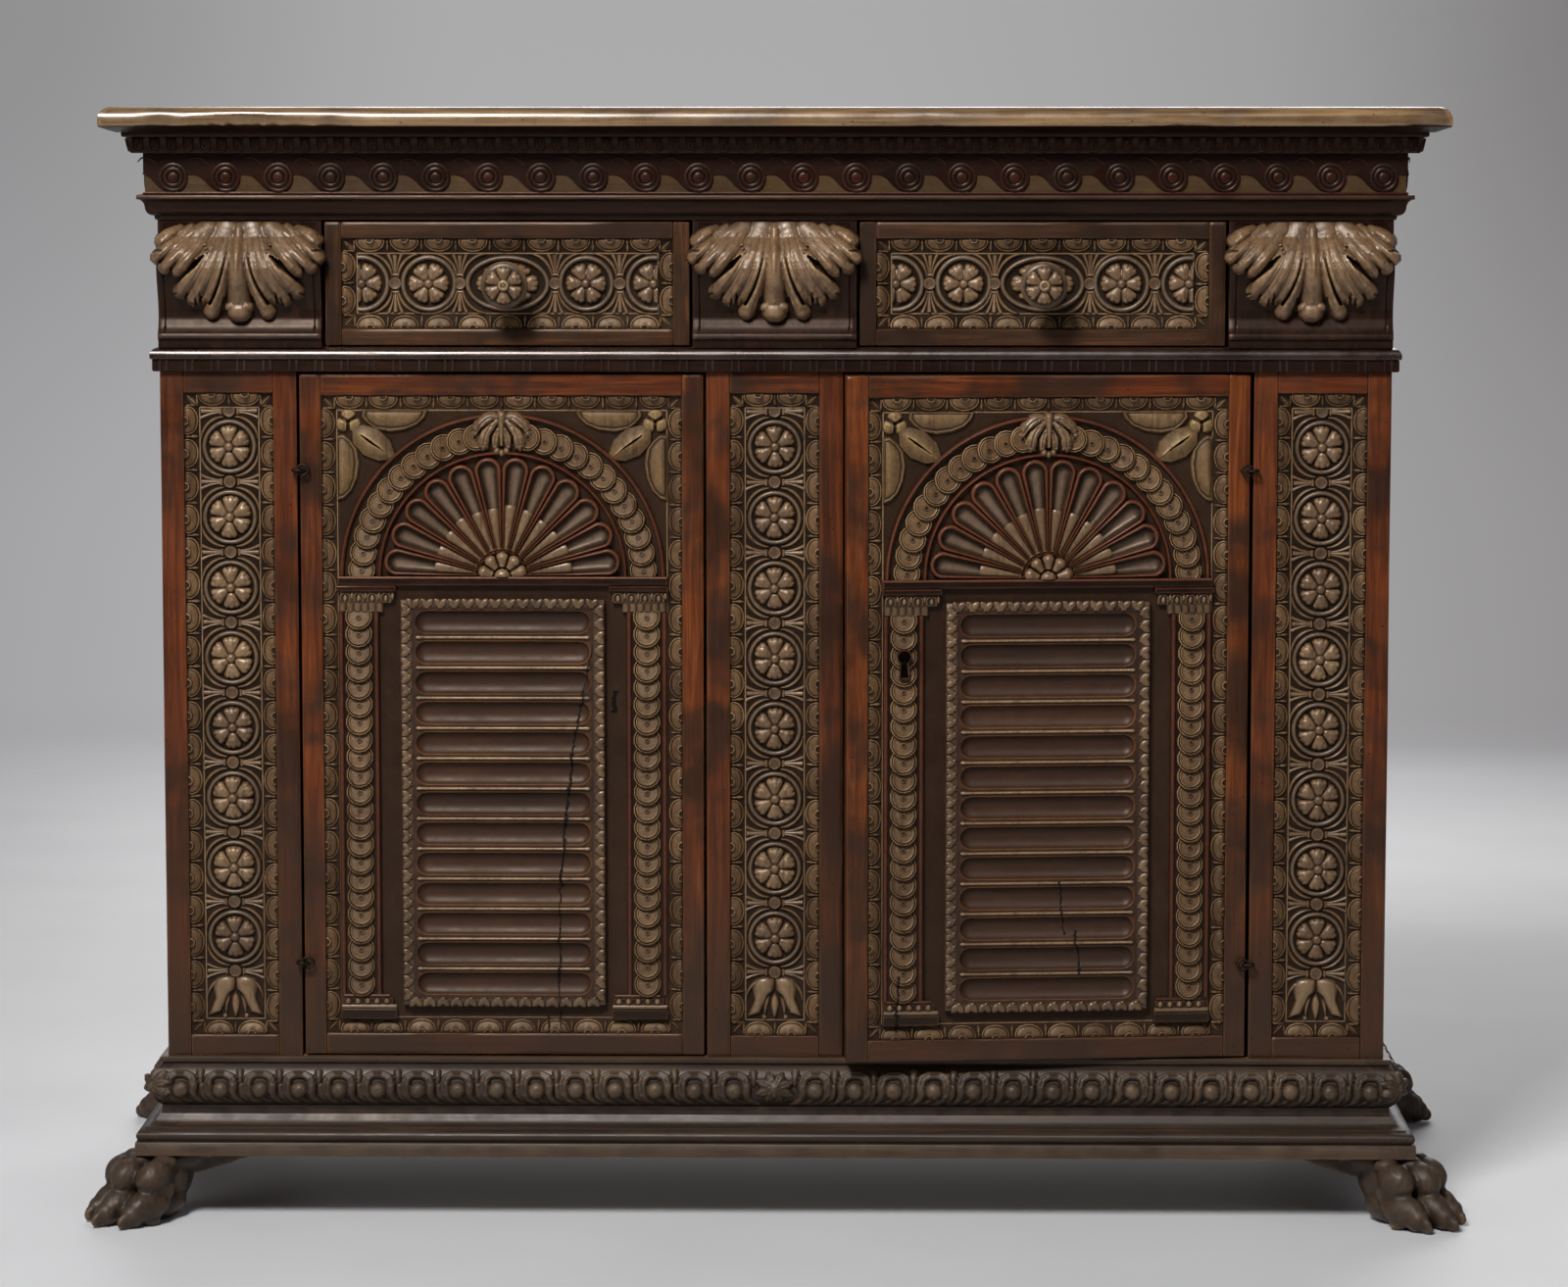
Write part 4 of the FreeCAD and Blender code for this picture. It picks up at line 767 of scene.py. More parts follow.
def eggForm():
    half12 = [(12.8, 0.3), (14.4, 2.0), (14.2, 4.8), (12.4, 8.6), (8.8, 11.6), (4.4, 13.3)]
    outline = np.array([(0, 0.3)] + half12 + [(0, 13.9)] + [(-x, y) for x, y in reversed(half12)])
    spine = np.column_stack([np.clip(outline[:, 0], -6, 6), np.full(len(outline), 3.4)])
    shell = loft(outline, spine, [(0, -0.3, 0.2), (0.06, 1.8, 0.75), (0.13, 2.0, 0.85), (0.2, 0.7, 0.05),
                                  (0.32, 1.8, 0.45), (0.4, 2.1, 0.5), (1, 2.5, 0.5)], scaleGild, slope)
    # the eye's hollow centre is painted dark as shade
    eye = turnedForm([(4.8, 4.4, 0.1), (4.2, 9.0, 0.75), (3.3, 9.2, 0.7), (2.7, 7.8, -0.8), (0.0, 7.6, -1.4)], 8,
                     scaleGild, 0, 180)
    return joined(shell, moved(eye, 0, 0.4))


def dartForm():
    outline = np.array([(0, 0.6), (1.5, 3.2), (0.8, 5.4), (2.0, 8.6), (1.2, 12.2), (0, 14), (-1.2, 12.2),
                        (-2.0, 8.6), (-0.8, 5.4), (-1.5, 3.2)])
    return loft(outline, np.column_stack([np.zeros(10), np.clip(outline[:, 1], 3, 11)]),
                [(0, -0.2, 0.0), (0.4, 2.2, 0.6), (1, 3.0, 0.9)], gilding, slope)


def cornerForm():  # a leaf set across the mitre of a border
    outline = np.array([(1, 1), (6, 2.5), (11, 6.5), (13.5, 13.5), (6.5, 11), (2.5, 6)])
    spine = np.column_stack([np.clip(outline.mean(axis=1), 3, 11)] * 2)
    return loft(outline, spine, [(0, 0.4, 0.1), (0.25, 3.2, 0.6), (0.45, 2.6, 0.35), (1, 4.6, 0.95)], gilding)


def rosetteForm(radius, petals, finish, start=90.0):
    # a flower of round cupped petals with notched tips round a ball
    strokes, lines = [], []
    r = radius / 21.0
    wide = 13.2 * math.sin(math.pi / petals) * 1.2
    for k in range(petals):
        way, gap = (ray(start + (k + part) * 360.0 / petals) * r for part in (0, 0.5))
        side = np.array([-way[1], way[0]])
        radii = np.array([0.6, 0.92, 1.02]) * wide
        strokes.append(stroke([way * 4, way * 9, way * 13.0], radii, [4.6, 7.0, 7.8], r))
        for sign in (1, -1):
            strokes.append(stroke([way * 11 + side * wide * 0.44 * sign, way * 16.0 + side * wide * 0.5 * sign],
                                  [3.8, 4.2], [6.2, 6.6], r))
            lines.append(stroke([way * 17.0 + side * 2.6 * sign, way * 21.5 + side * 3.0 * sign],
                                [0.6, 1.2], [0.3, 1.8], r))
        strokes.append(stroke([way * 16.4 - side * 1.2, way * 16.4 + side * 1.2], 4.4, 7.0, r))
        lines.append(stroke([gap * 4.5, gap * 10, gap * 20], [0.6, 0.7, 0.9], [1.0, 1.4, 2.6], r))
    edge = radius + 1
    flower = carvedField(strokes, (-edge, -edge), (edge, edge), 0.9 * r, finish, None, lines)
    hub = turnedForm([(5.0 * r, 1.0, -0.4), (4.8 * r, 6.4 * r, 0.3), (4.0 * r, 8.2 * r, 0.6),
                      (2.4 * r, 9.3 * r, 0.7), (0, 9.6 * r, 0.7)], 12, finish)
    return joined(flower, hub)


def hoopForm(radius, width, high=4.2, count=36, stretch=1.0):
    outer, inner = radius, radius - width
    profile = [(outer, -0.3, 0.0), (outer - width * 0.08, high * 0.55, 0.45),
               (outer - width * 0.28, high * 0.92, 0.75), (outer - width * 0.5, high, 0.85),
               (inner + width * 0.26, high * 0.86, 0.7), (inner + width * 0.06, high * 0.5, 0.4),
               (inner, -0.3, -0.1)]
    hoop = turnedForm(profile, count, redGild)
    if stretch != 1.0:
        angle = np.arctan2(hoop["points"][:, 1], hoop["points"][:, 0])
        hoop["points"][:, 0] += np.cos(angle) * radius * (stretch - 1)
    return hoop


def almond(length, width, finish, high=3.0, bend=0.0, steps=None, count=5):
    # a leaf that starts at the origin and points up
    t = np.linspace(0, 1, count + 1)
    wide, middleLine = np.sin(math.pi * t ** 0.8), bend * np.sin(math.pi * t)
    right, left = (np.column_stack([sign * wide * width / 2 + middleLine, t * length]) for sign in (1, -1))
    outline = np.concatenate([right, left[1:-1][::-1]])
    along = np.clip(outline[:, 1] / length, 0.12, 0.88)
    spine = np.column_stack([bend * np.sin(math.pi * along), along * length])
    return loft(outline, spine, steps or [(0, 0, 0.1), (0.3, high * 0.75, 0.75), (1, high, 0.95)], finish)


def linkForm(gap=34.3, ring=27.0):
    knot = turnedForm([(6.6, -0.3, 0.0), (6.3, 2.8, 0.5), (5.3, 3.7, 0.75), (3.8, 3.3, 0.45), (0, 3.2, 0.5)], 14,
                      redGild)
    collar = bead([(8.4, -3.2), (8.4, 3.2)], 1.5, gilding, 5, (0.2, 0.8), 0.0, 1.5)
    t = np.linspace(0, 1, 7)
    ribs = [bead(curved((9.4, 1.5 * sign), (19, 1.8 * sign), (28.5, 6.8 * sign), 7), 0.8 + 1.2 * t, gilding, 5,
                 (0.1, 0.8), 0.0, 1.4) for sign in (1, -1)]
    stem = bead(np.column_stack([9.6 + 18 * t, 0 * t]), 1.2 + 1.6 * t, gilding, 6, (0.1, 0.8), 0.0, 1.3)
    flare = joined(collar, stem, *ribs)
    angles = np.radians(np.linspace(78, 14, 10))
    inner = np.column_stack([np.cos(angles), np.sin(angles)]) * (ring + 1.2)
    swell = 0.8 + 3.6 * np.sin(np.linspace(0.08, 0.97, 10) * math.pi) ** 0.8
    outer = np.column_stack([np.cos(angles), np.sin(angles)]) * (ring + 1.2 + swell)[:, None]
    outline = np.concatenate([inner, outer[::-1]]) + np.array([0, -gap])
    centre = (inner + outer) / 2 + np.array([0, -gap])
    leaf = loft(outline, np.concatenate([centre, centre[::-1]]),
                [(0, -0.3, 0.0), (0.4, 2.2, 0.6), (1, 2.9, 0.85)], gilding)
    halfLink = joined(flare, leaf, moved(leaf, size=(1, -1, 1)))
    return joined(knot, mirrored(halfLink))


redGild = carvedFinish("rubbedRings", {**gildLook, "metal": 0.2,
    "levels": fade("#0f0a06 #281d14 #433325 #66533f", 0, 0.3, 0.65, 1)})


def coinForm(radius):
    angles = np.radians(np.arange(14) * 360.0 / 14 - 90)
    outline = np.column_stack([np.cos(angles), np.sin(angles)]) * radius
    # the groove between the two rims is painted dark as shade
    return loft(outline, (0, 0), [(0, -0.8, 0.0), (0.02, 2.2, 0.6), (0.08, 2.9, 1.05), (0.15, 1.3, -0.3),
                                  (0.24, 2.4, 0.95), (0.31, 1.7, 0.3), (0.37, 1.72, 0.5), (1, 1.75, 0.54)],
                scaleGild)


def dropForm():  # the drilled eyelet under a scale's rim, its hole painted dark as shade
    return turnedForm([(3.2, -0.2, 0.0), (2.8, 1.2, 0.6), (2.1, 1.3, 0.6), (1.7, 0.4, -1.4), (0, 0.3, -1.4)], 9,
                      scaleGild)


def laurelForm():
    steps = [(0, -0.2, 0.1), (0.2, 1.3, 0.45), (0.55, 2.0, 0.6), (1, 2.4, 0.65)]
    leaf = almond(14.4, 8.8, gilding, steps=steps)
    return joined(*[moved(leaf, 6.4 * sign, -5.6, turn=41 * sign) for sign in (-1, 1)])


def borderSpots(width, height, pitch):
    eggs, darts = [], []
    inset = border["width"]
    for length, side in ((width, "low"), (height, "right"), (width, "high"), (height, "left")):
        count = max(1, int(round((length - 2 * inset + 6) / pitch)))
        step = (length - 2 * inset + 6) / count
        places = [(k - (count - 1) / 2) * step + length / 2 for k in range(count)]
        share = min(1.0, step / pitch)
        between = [(a + b) / 2 for a, b in zip(places, places[1:])]
        between += [places[0] - step / 2 + 1.5, places[-1] + step / 2 - 1.5]
        for target, spots, size in ((eggs, places, (share, 1, 1)), (darts, between, (1, 1, 1))):
            for t in spots:
                at = {"low": (t, 0, 0, 0), "right": (width, t, 0, 90), "high": (width - t, height, 0, 180),
                      "left": (0, height - t, 0, 270)}[side]
                target.append(at + (0, 0, size))
    corners = [(x, y, 0, 90 * k) for k, (x, y) in enumerate(rectangle(0, 0, width, height))]
    return eggs, darts, corners


def groundForm(width, height, finish=groundWood):
    # the panel itself: a level field with a sloping border, and a plain back
    inner = border["width"]
    outline, field = rectangle(0, 0, width, height), rectangle(inner, inner, width - inner, height - inner)
    rings = ((outline, -12.0), (outline, border["rise"]), (field, 0))
    points = [(x, y, out) for ring, out in rings for x, y in ring]
    return form(points, ringFaces(3, 4) + [(8, 9, 10, 11), (3, 2, 1, 0)], np.repeat([0.6, 0.25, 0.3], 4), finish)


def filletForm(width, height, inset):
    path = rectangle(inset, inset, width - inset, height - inset)
    return joined(*[bead([a, b], 0.9, gilding, 3) for a, b in zip(path, path[1:] + path[:1])])


eggMotif = motif("egg", eggForm())
dartMotif = motif("dart", dartForm())
cornerMotif = motif("cornerLeaf", cornerForm())


def borderForm(width, height, seed):
    eggs, darts, corners = borderSpots(width, height, border["pitch"])
    return joined(row(eggMotif, eggs, scaleGild, 0.015, 0.05, seed),
                  row(dartMotif, darts, gilding, 0.05, 0.1, seed + 1),
                  row(cornerMotif, corners, gilding, 0.02, 0.02, seed + 2),
                  filletForm(width, height, border["width"] + 0.6))


def cutAway(work, at, way):
    parts = work.verts[:] + work.edges[:] + work.faces[:]
    bmesh.ops.bisect_plane(work, geom=parts, plane_co=at, plane_no=way, clear_outer=True)


def trimmed(source, low, high):  # cuts a form off at a field's edges
    mesh = meshOf(source, "trim")
    work = bmesh.new()
    work.from_mesh(mesh)
    for axis, sign, limit in ((0, -1, low[0]), (0, 1, high[0]), (2, -1, low[1]), (2, 1, high[1])):
        at, way = Vector((0, 0, 0)), Vector((0, 0, 0))
        at[axis], way[axis] = limit * mm, sign
        cutAway(work, at, way)
    work.to_mesh(mesh)
    work.free()
    made = readForm(mesh, None)
    made["finish"] = [mesh.materials[p.material_index] for p in mesh.polygons]
    bpy.data.meshes.remove(mesh)
    return made


# pilasters: a string of roses in rings over a tulip
pilaster = {"stile": 23.0, "rail": 21.0, "roses": 8, "firstRose": 576.8, "rosePitch": 68.65, "rose": 21.2,
            "ring": 27.0, "ringWidth": 5.2}
roseMotif = motif("pilasterRose", rosetteForm(pilaster["rose"], 6, gilding))
ringMotif = motif("pilasterRing", hoopForm(pilaster["ring"], pilaster["ringWidth"]))
linkMotif = motif("pilasterLink", linkForm(pilaster["rosePitch"] / 2, pilaster["ring"]))


def tulipForm():
    side = np.array([(0, -2), (-10, -0.5), (-19, -3), (-23, -11), (-20, -23), (-27.5, -41), (-14, -37),
                     (-9.5, -27), (-6, -19), (0, -14)])
    along = np.clip(side[:, 1], -33, -8)
    spine = np.column_stack([np.interp(along, [-33, -20, -8], [-19, -14, -8]), along])
    wing = loft(side, spine, [(0, 0, 0.1), (0.16, 3.0, 0.6), (0.45, 4.6, 0.85), (1, 5.2, 0.95)], gilding)
    middle = moved(almond(27, 9, gilding, 4.4), 0, -16, turn=180)
    thin = moved(almond(22, 4, gilding, 3.2, bend=1.5), -5, -19, turn=168)
    berry = turnedForm([(2.2, 0, 0.1), (1.9, 2.4, 0.8), (0, 3.2, 1)], 8, gilding)
    parts = joined(wing, thin, moved(berry, -10.5, -40.5))
    return joined(mirrored(parts), middle)


def pilasterPanel(width, height, seed):
    middle = width / 2
    places = [pilaster["firstRose"] - k * pilaster["rosePitch"] for k in range(pilaster["roses"])]
    links = [v - pilaster["rosePitch"] / 2 for v in places] + [places[0] + pilaster["rosePitch"] / 2]
    low, right, high = border["width"] + 1.2, width - border["width"] - 1.2, height - border["width"] - 1.2
    chain = joined(row(ringMotif, [(middle, v, 0) for v in places], redGild, 0.01, 0.02, seed + 5),
                   row(linkMotif, [(middle, v, 0) for v in links], gilding, 0.02, 0.03, seed + 6),
                   moved(tulipForm(), middle, links[-2] - 3.5))
    roses = row(roseMotif, [(middle, v, 0) for v in places], gilding, 0.06, 0.03, seed + 7)
    return joined(groundForm(width, height, shadedGround), borderForm(width, height, seed),
                  trimmed(chain, (low, low), (right, high)), roses)


def frameForm(width, height, stile, rail, seed, wood=walnut, topRail=None, out=recess, thick=boardThick):
    # a joined frame, stiles through
    deep, right, top = out - thick, width - stile, height - (topRail or rail)
    sizes = (((0, 0), (stile, height), 1), ((right, 0), (width, height), 1), ((stile, 0), (right, rail), 0),
             ((stile, top), (right, height), 0))
    return joined(*[board((*low, deep), (*high, out), wood, along, seed + k)
                    for k, (low, high, along) in enumerate(sizes)])


pilasterSize = ((pilasterHigh.x - pilasterLow.x) / mm, (pilasterHigh.z - pilasterLow.z) / mm)
for index, side in enumerate(("left", "center", "right")):
    low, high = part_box(f"{side}_pilaster_frame")
    at = (low.x, low.y + recess * mm, low.z)
    joinery = frameForm(*pilasterSize, pilaster["stile"], pilaster["rail"], 10 + index * 10)
    piece(f"{side}PilasterFrame", joinery, "carcass", at, [f"{side}_pilaster_frame"])
    inside = (pilasterSize[0] - 2 * pilaster["stile"], pilasterSize[1] - 2 * pilaster["rail"])
    corner = (at[0] + pilaster["stile"] * mm, at[1], at[2] + pilaster["rail"] * mm)
    piece(f"{side}PilasterCarving", pilasterPanel(*inside, 100 + index * 20), "carcass", corner,
          [f"{side}_pilaster_panel"])
print("pilasters carved")

# doors: an arched portal with a shell, scaled columns and a fluted panel, in leaf coordinates
door = {"stile": 21.0, "rail": 21.0, "archUp": 470.0, "rimOuter": 158.5, "rimWidth": 5.0, "coinRing": 137.0,
        "coin": 13.6, "coins": 12, "innerRim": 121.5, "shell": 116.0, "lobes": 12, "hub": 28.5,
        "impost": (461.0, 470.0), "field": 35.0}
middle = doorWidth / 2


def lobeForm(length, root, angle, finish, hollow=False):
    # one ray of the shell, pointing up from the hub: its rim, or the hollow inside it
    spreadTan = math.tan(math.radians(angle / 2))
    tip = length * math.sin(math.radians(angle / 2)) / (1 + math.sin(math.radians(angle / 2))) * 1.02
    centre = length - tip
    ends = arc(tip, 8, 172, 9, (0, centre))
    right = [(root * spreadTan * 0.9, root), (centre * 0.55 * spreadTan, centre * 0.55)]
    outline = np.array(right + ends.tolist() + [(-x, y) for x, y in reversed(right)])
    spine = np.column_stack([np.zeros(len(outline)), np.clip(outline[:, 1], root + 4, centre)])
    steps = [(0, 0.2, 0.3), (0.03, 6.2, 0.7), (0.09, 8.2, 0.9), (0.18, 8.8, 0.95), (0.26, 8.4, 0.9),
             (0.33, 6.2, 0.4)]
    if hollow:
        # the hollow's relief is lowest beside the rims, painting shade along its walls
        steps = [(0.33, 6.2, 0.0), (0.43, 3.8, 0.1), (0.55, 2.1, 0.25), (0.7, 1.0, 0.45), (0.85, 0.5, 0.6),
                 (1, 0.3, 0.65)]
    return loft(outline, spine, steps, finish)


def reedForm(root, length, wide):
    outs = np.array([0, 0.3, 0.6, 0.9, 0.97, 1.0])
    path = np.column_stack([np.zeros(6), root + (length - root) * outs])
    return bead(path, np.interp(outs, [0, 0.9, 0.97, 1], [1.6, wide / 2, wide / 2 - 0.3, wide / 2 - 1.2]),
                gilding, 6, (0.35, 0.75), 4.0, 0.62)


def fluteCell(width, pitch, pocket, depth):
    # one hollow flute with the level wood around it
    high = pocket / 2
    straight = width / 2 - high
    rightEnd, leftEnd = arc(high, -90, 90, 9, (straight, 0)), arc(high, 90, 270, 9, (-straight, 0))
    stadium = np.concatenate([[(0, -high)], rightEnd, [(0, high)], leftEnd])
    outer = []
    for x, y in stadium:
        if abs(x) <= straight + 1e-6:
            outer.append((x, math.copysign(pitch / 2, y)))
        else:
            share = (abs(x) - straight) / high
            outer.append((math.copysign(straight + (width / 2 + 2.2 - straight) * min(1.0, share * 1.35), x),
                          math.copysign(pitch / 2, y) if abs(y) > 0.3 * high else y / (0.3 * high) * pitch / 2))
    outer = np.array(outer)
    spine = np.column_stack([np.clip(stadium[:, 0], -straight, straight), np.zeros(len(stadium))])
    top = 9.0
    steps = [(0, top - 0.6, 0.55), (0.03, top, 0.9), (0.08, top - 0.4, 0.8)]
    steps += [(s, top - depth * math.sqrt(1 - ((1 - s) / 0.92) ** 2), level)
              for s, level in ((0.12, 0.5), (0.2, 0.35), (0.32, 0.3), (0.5, 0.3), (0.75, 0.35))]
    hollow = loft(stadium, spine, steps + [(1, top - depth, 0.35)], fluteWood)
    flat = np.concatenate([outer, stadium])
    level = form(np.column_stack([flat, np.full(len(flat), top - 0.6)]), ringFaces(2, len(stadium)),
                 [0.2] * len(flat), fluteWood)
    return joined(level, hollow)


coinMotif = motif("coin", coinForm(door["coin"]))
dropMotif = motif("drop", dropForm())
laurelMotif = motif("laurel", laurelForm())
shellRay = (door["shell"], door["hub"] * 0.8, 180 / door["lobes"])
lobeMotif = motif("shellLobe", lobeForm(*shellRay, redWood))
hollowMotif = motif("shellHollow", lobeForm(*shellRay, hollowWood, True))
reedMotif = motif("shellReed", reedForm(door["hub"] * 0.85, 69.0, 12.6))


def rimForm(path, width, rise, finish):  # a half-round rim
    return bead(path, width / 2, finish, 6, (0.1, 0.9), 0.0, rise / (width / 2))


def archForm(seed):
    centre = (middle, door["archUp"])
    outer = rimForm(arc(door["rimOuter"] - door["rimWidth"] / 2, 0, 180, 61, centre), door["rimWidth"], 6.5,
                    redWood)
    inner = rimForm(arc(door["innerRim"] - 2.2, 0, 180, 49, centre), 4.4, 6.5, redWood)
    coins, drops = [], []
    step = 84.0 / door["coins"]
    for side in (1, -1):
        for k in range(door["coins"]):
            angle, eyelet = (90 - side * (90 - (k + part) * step) for part in (0.35, 0.31))
            turn = angle if side > 0 else angle - 180
            for target, at, out in ((coins, angle, 1.8), (drops, eyelet, 3.8)):
                target.append((centre[0] + door["coinRing"] * math.cos(math.radians(at)),
                               centre[1] + door["coinRing"] * math.sin(math.radians(at)), out, turn, -13))
    band = joined(row(coinMotif, coins, scaleGild, 0.03, 0.03, seed),
                  row(dropMotif, drops, scaleGild, 0.0, 0.1, seed + 1))
    turns = [(k + 0.5) * 180 / door["lobes"] - 90 for k in range(door["lobes"])]
    rays = [(centre[0], centre[1] + 0.6, 0, t) for t in turns]
    shell = joined(row(lobeMotif, rays, redWood, 0.0, 0.0, seed + 2),
                   row(hollowMotif, rays, hollowWood, 0.0, 0.0, seed + 2),
                   row(reedMotif, rays, gilding, 0.006, 0.05, seed + 3))
    keep = (door["field"], centre[1] - 0.5), (doorWidth - door["field"], doorHeight - door["field"])
    return trimmed(joined(outer, inner, band, shell), *keep)


def hubForm():
    strokes, lines = [stroke([(-1, 1), (1, 1)], 7.5, 9.5)], [stroke(arc(8.4, 0, 180, 12), 1.0, 4.0)]
    for k in range(5):
        way, gap = ray(14 + 38 * k), ray(33 + 38 * k)
        strokes.append(stroke([way * 9, way * 18.4], [4.0, 6.6], [7.0, 9.0]))
        lines.append(stroke([gap * 8, gap * 25], [0.8, 1.0], [1.5, 2.5]))
    flower = trimmed(carvedField(strokes, (-27, -9), (27, 27), 0.9, gilding, None, lines), (-40, 0), (40, 40))
    hub = door["hub"]
    rim = turnedForm([(hub, -0.3, 0.0), (hub - 0.5, 5.0, 0.5), (hub - 1.6, 6.4, 0.8), (hub - 3.0, 5.2, 0.4),
                      (hub - 4.4, 2.4, -0.2), (0, 2.4, -0.2)], 29, gilding, 0, 180)
    return moved(joined(rim, moved(flower, 0, 0, 2.2)), middle, door["archUp"])


def keystoneForm():
    # a crown of broad acanthus leaves that hang from a stem and curl outwards, with berries under them
    t = np.linspace(0, 1, 10)
    leaves = []
    shapes = (((-2, 36), (-15, 40), (-25, 22), 7.6, 9.5), ((-2, 33), (-16, 28), (-17.5, 9.5), 8.4, 11.5),
              ((-1, 29), (-6.5, 20), (-6.5, 9), 5.6, 9.5))
    for start, bow, tip, wide, high in shapes:
        radii = np.interp(t, [0, 0.4, 0.8, 1], [3.2, wide * 0.85, wide, wide * 0.78])
        heights = np.interp(t, [0, 0.4, 0.8, 1], [6.5, high * 0.9, high, high * 0.75])
        leaves.append((curved(start, bow, tip, 10), radii, heights))
    both = leaves + [stroke(*leaf, way=(-1, 1)) for leaf in leaves]
    lines = [stroke(path[3:], 0.9, 1.2) for path, _, _ in both]
    for way in ((1, 1), (-1, 1)):
        lines.append(stroke([(-8, 33), (-19, 25), (-27, 12)], [0.9, 1.3, 2.4], [2.0, 4.5, 9.0], way=way))
        lines.append(stroke([(-4, 28), (-10.5, 18), (-11, 4)], [0.9, 1.3, 2.2], [2.0, 4.5, 8.0], way=way))
        for pair in (((-27, 24), (-34, 22)), ((-24, 19), (-29, 13)), ((-20, 7), (-23, 1)), ((-15, 6), (-15, 0))):
            lines.append(stroke(pair, [1.0, 1.8], [1.5, 5.0], way=way))
    both.append(stroke([(0, 38), (0, 26), (0, 10)], [5.4, 3.6, 2.2], [10.0, 11.0, 9.0]))
    for x, y in ((0, 1.5), (-4.6, 3.6), (4.6, 3.6)):
        both.append(stroke([(x, y), (x, y + 1.0)], [3.6, 3.2], 8.0))
    carved = carvedField(both, (-38, -4), (38, 46), 0.8, gilding, None, lines)
    return moved(carved, middle, door["archUp"] + 118.0)


def cornerLeaves():
    # a bud in the corner, half leaves along both edges and one leaf across, for the upper left corner
    paddle = [(0, -0.3, 0.05), (0.1, 3.2, 0.5), (0.2, 4.2, 0.8), (0.3, 3.0, 0.15), (0.45, 4.4, 0.6),
              (1, 5.2, 0.75)]
    half1 = np.array([(21, 0.4), (79, 0.4), (77, -5.5), (70, -12.6), (58, -18), (45, -20), (33, -17.5),
                      (25, -11.5), (20, -5)])
    spine1 = np.column_stack([np.clip(half1[:, 0], 34, 62), np.full(len(half1), -4.5)])
    along = loft(half1[::-1], spine1[::-1], paddle, spandrelGild)
    half2 = np.column_stack([-half1[:, 1], -half1[:, 0]])
    spine2 = np.column_stack([-spine1[:, 1], -spine1[:, 0]])
    down = loft(half2, spine2, paddle, spandrelGild)
    cross = np.array([(12, -17), (21, -11.5), (35, -14.5), (46.5, -25), (51.5, -42), (36, -45), (22, -40),
                      (12.5, -29)])
    spine3 = np.array([(20, -20), (22, -21), (28, -25), (36, -31), (43, -37), (35, -32), (27, -27), (21, -22)])
    leaf = loft(cross[::-1], spine3[::-1],
                [(0, -0.3, 0.05), (0.14, 4.0, 0.5), (0.35, 4.6, 0.5), (0.75, 6.0, 0.7), (1, 7.0, 1.0)],
                spandrelGild)
    heart = np.array([9.6, -9.6])
    bud = [stroke([heart, heart + ray(turn) * 5.0], [8.0, 6.6], [6.0, 5.6]) for turn in (90, 210, 330)]
    lines = [stroke([heart, heart + ray(turn) * 13], [1.6, 1.8], 3.6) for turn in (150, 270, 390)]
    made = joined(along, down, leaf, carvedField(bud, (-4, -23), (23, 3), 0.9, spandrelGild, None, lines))
    return moved(made, size=(1.13, 1.13, 1.0))


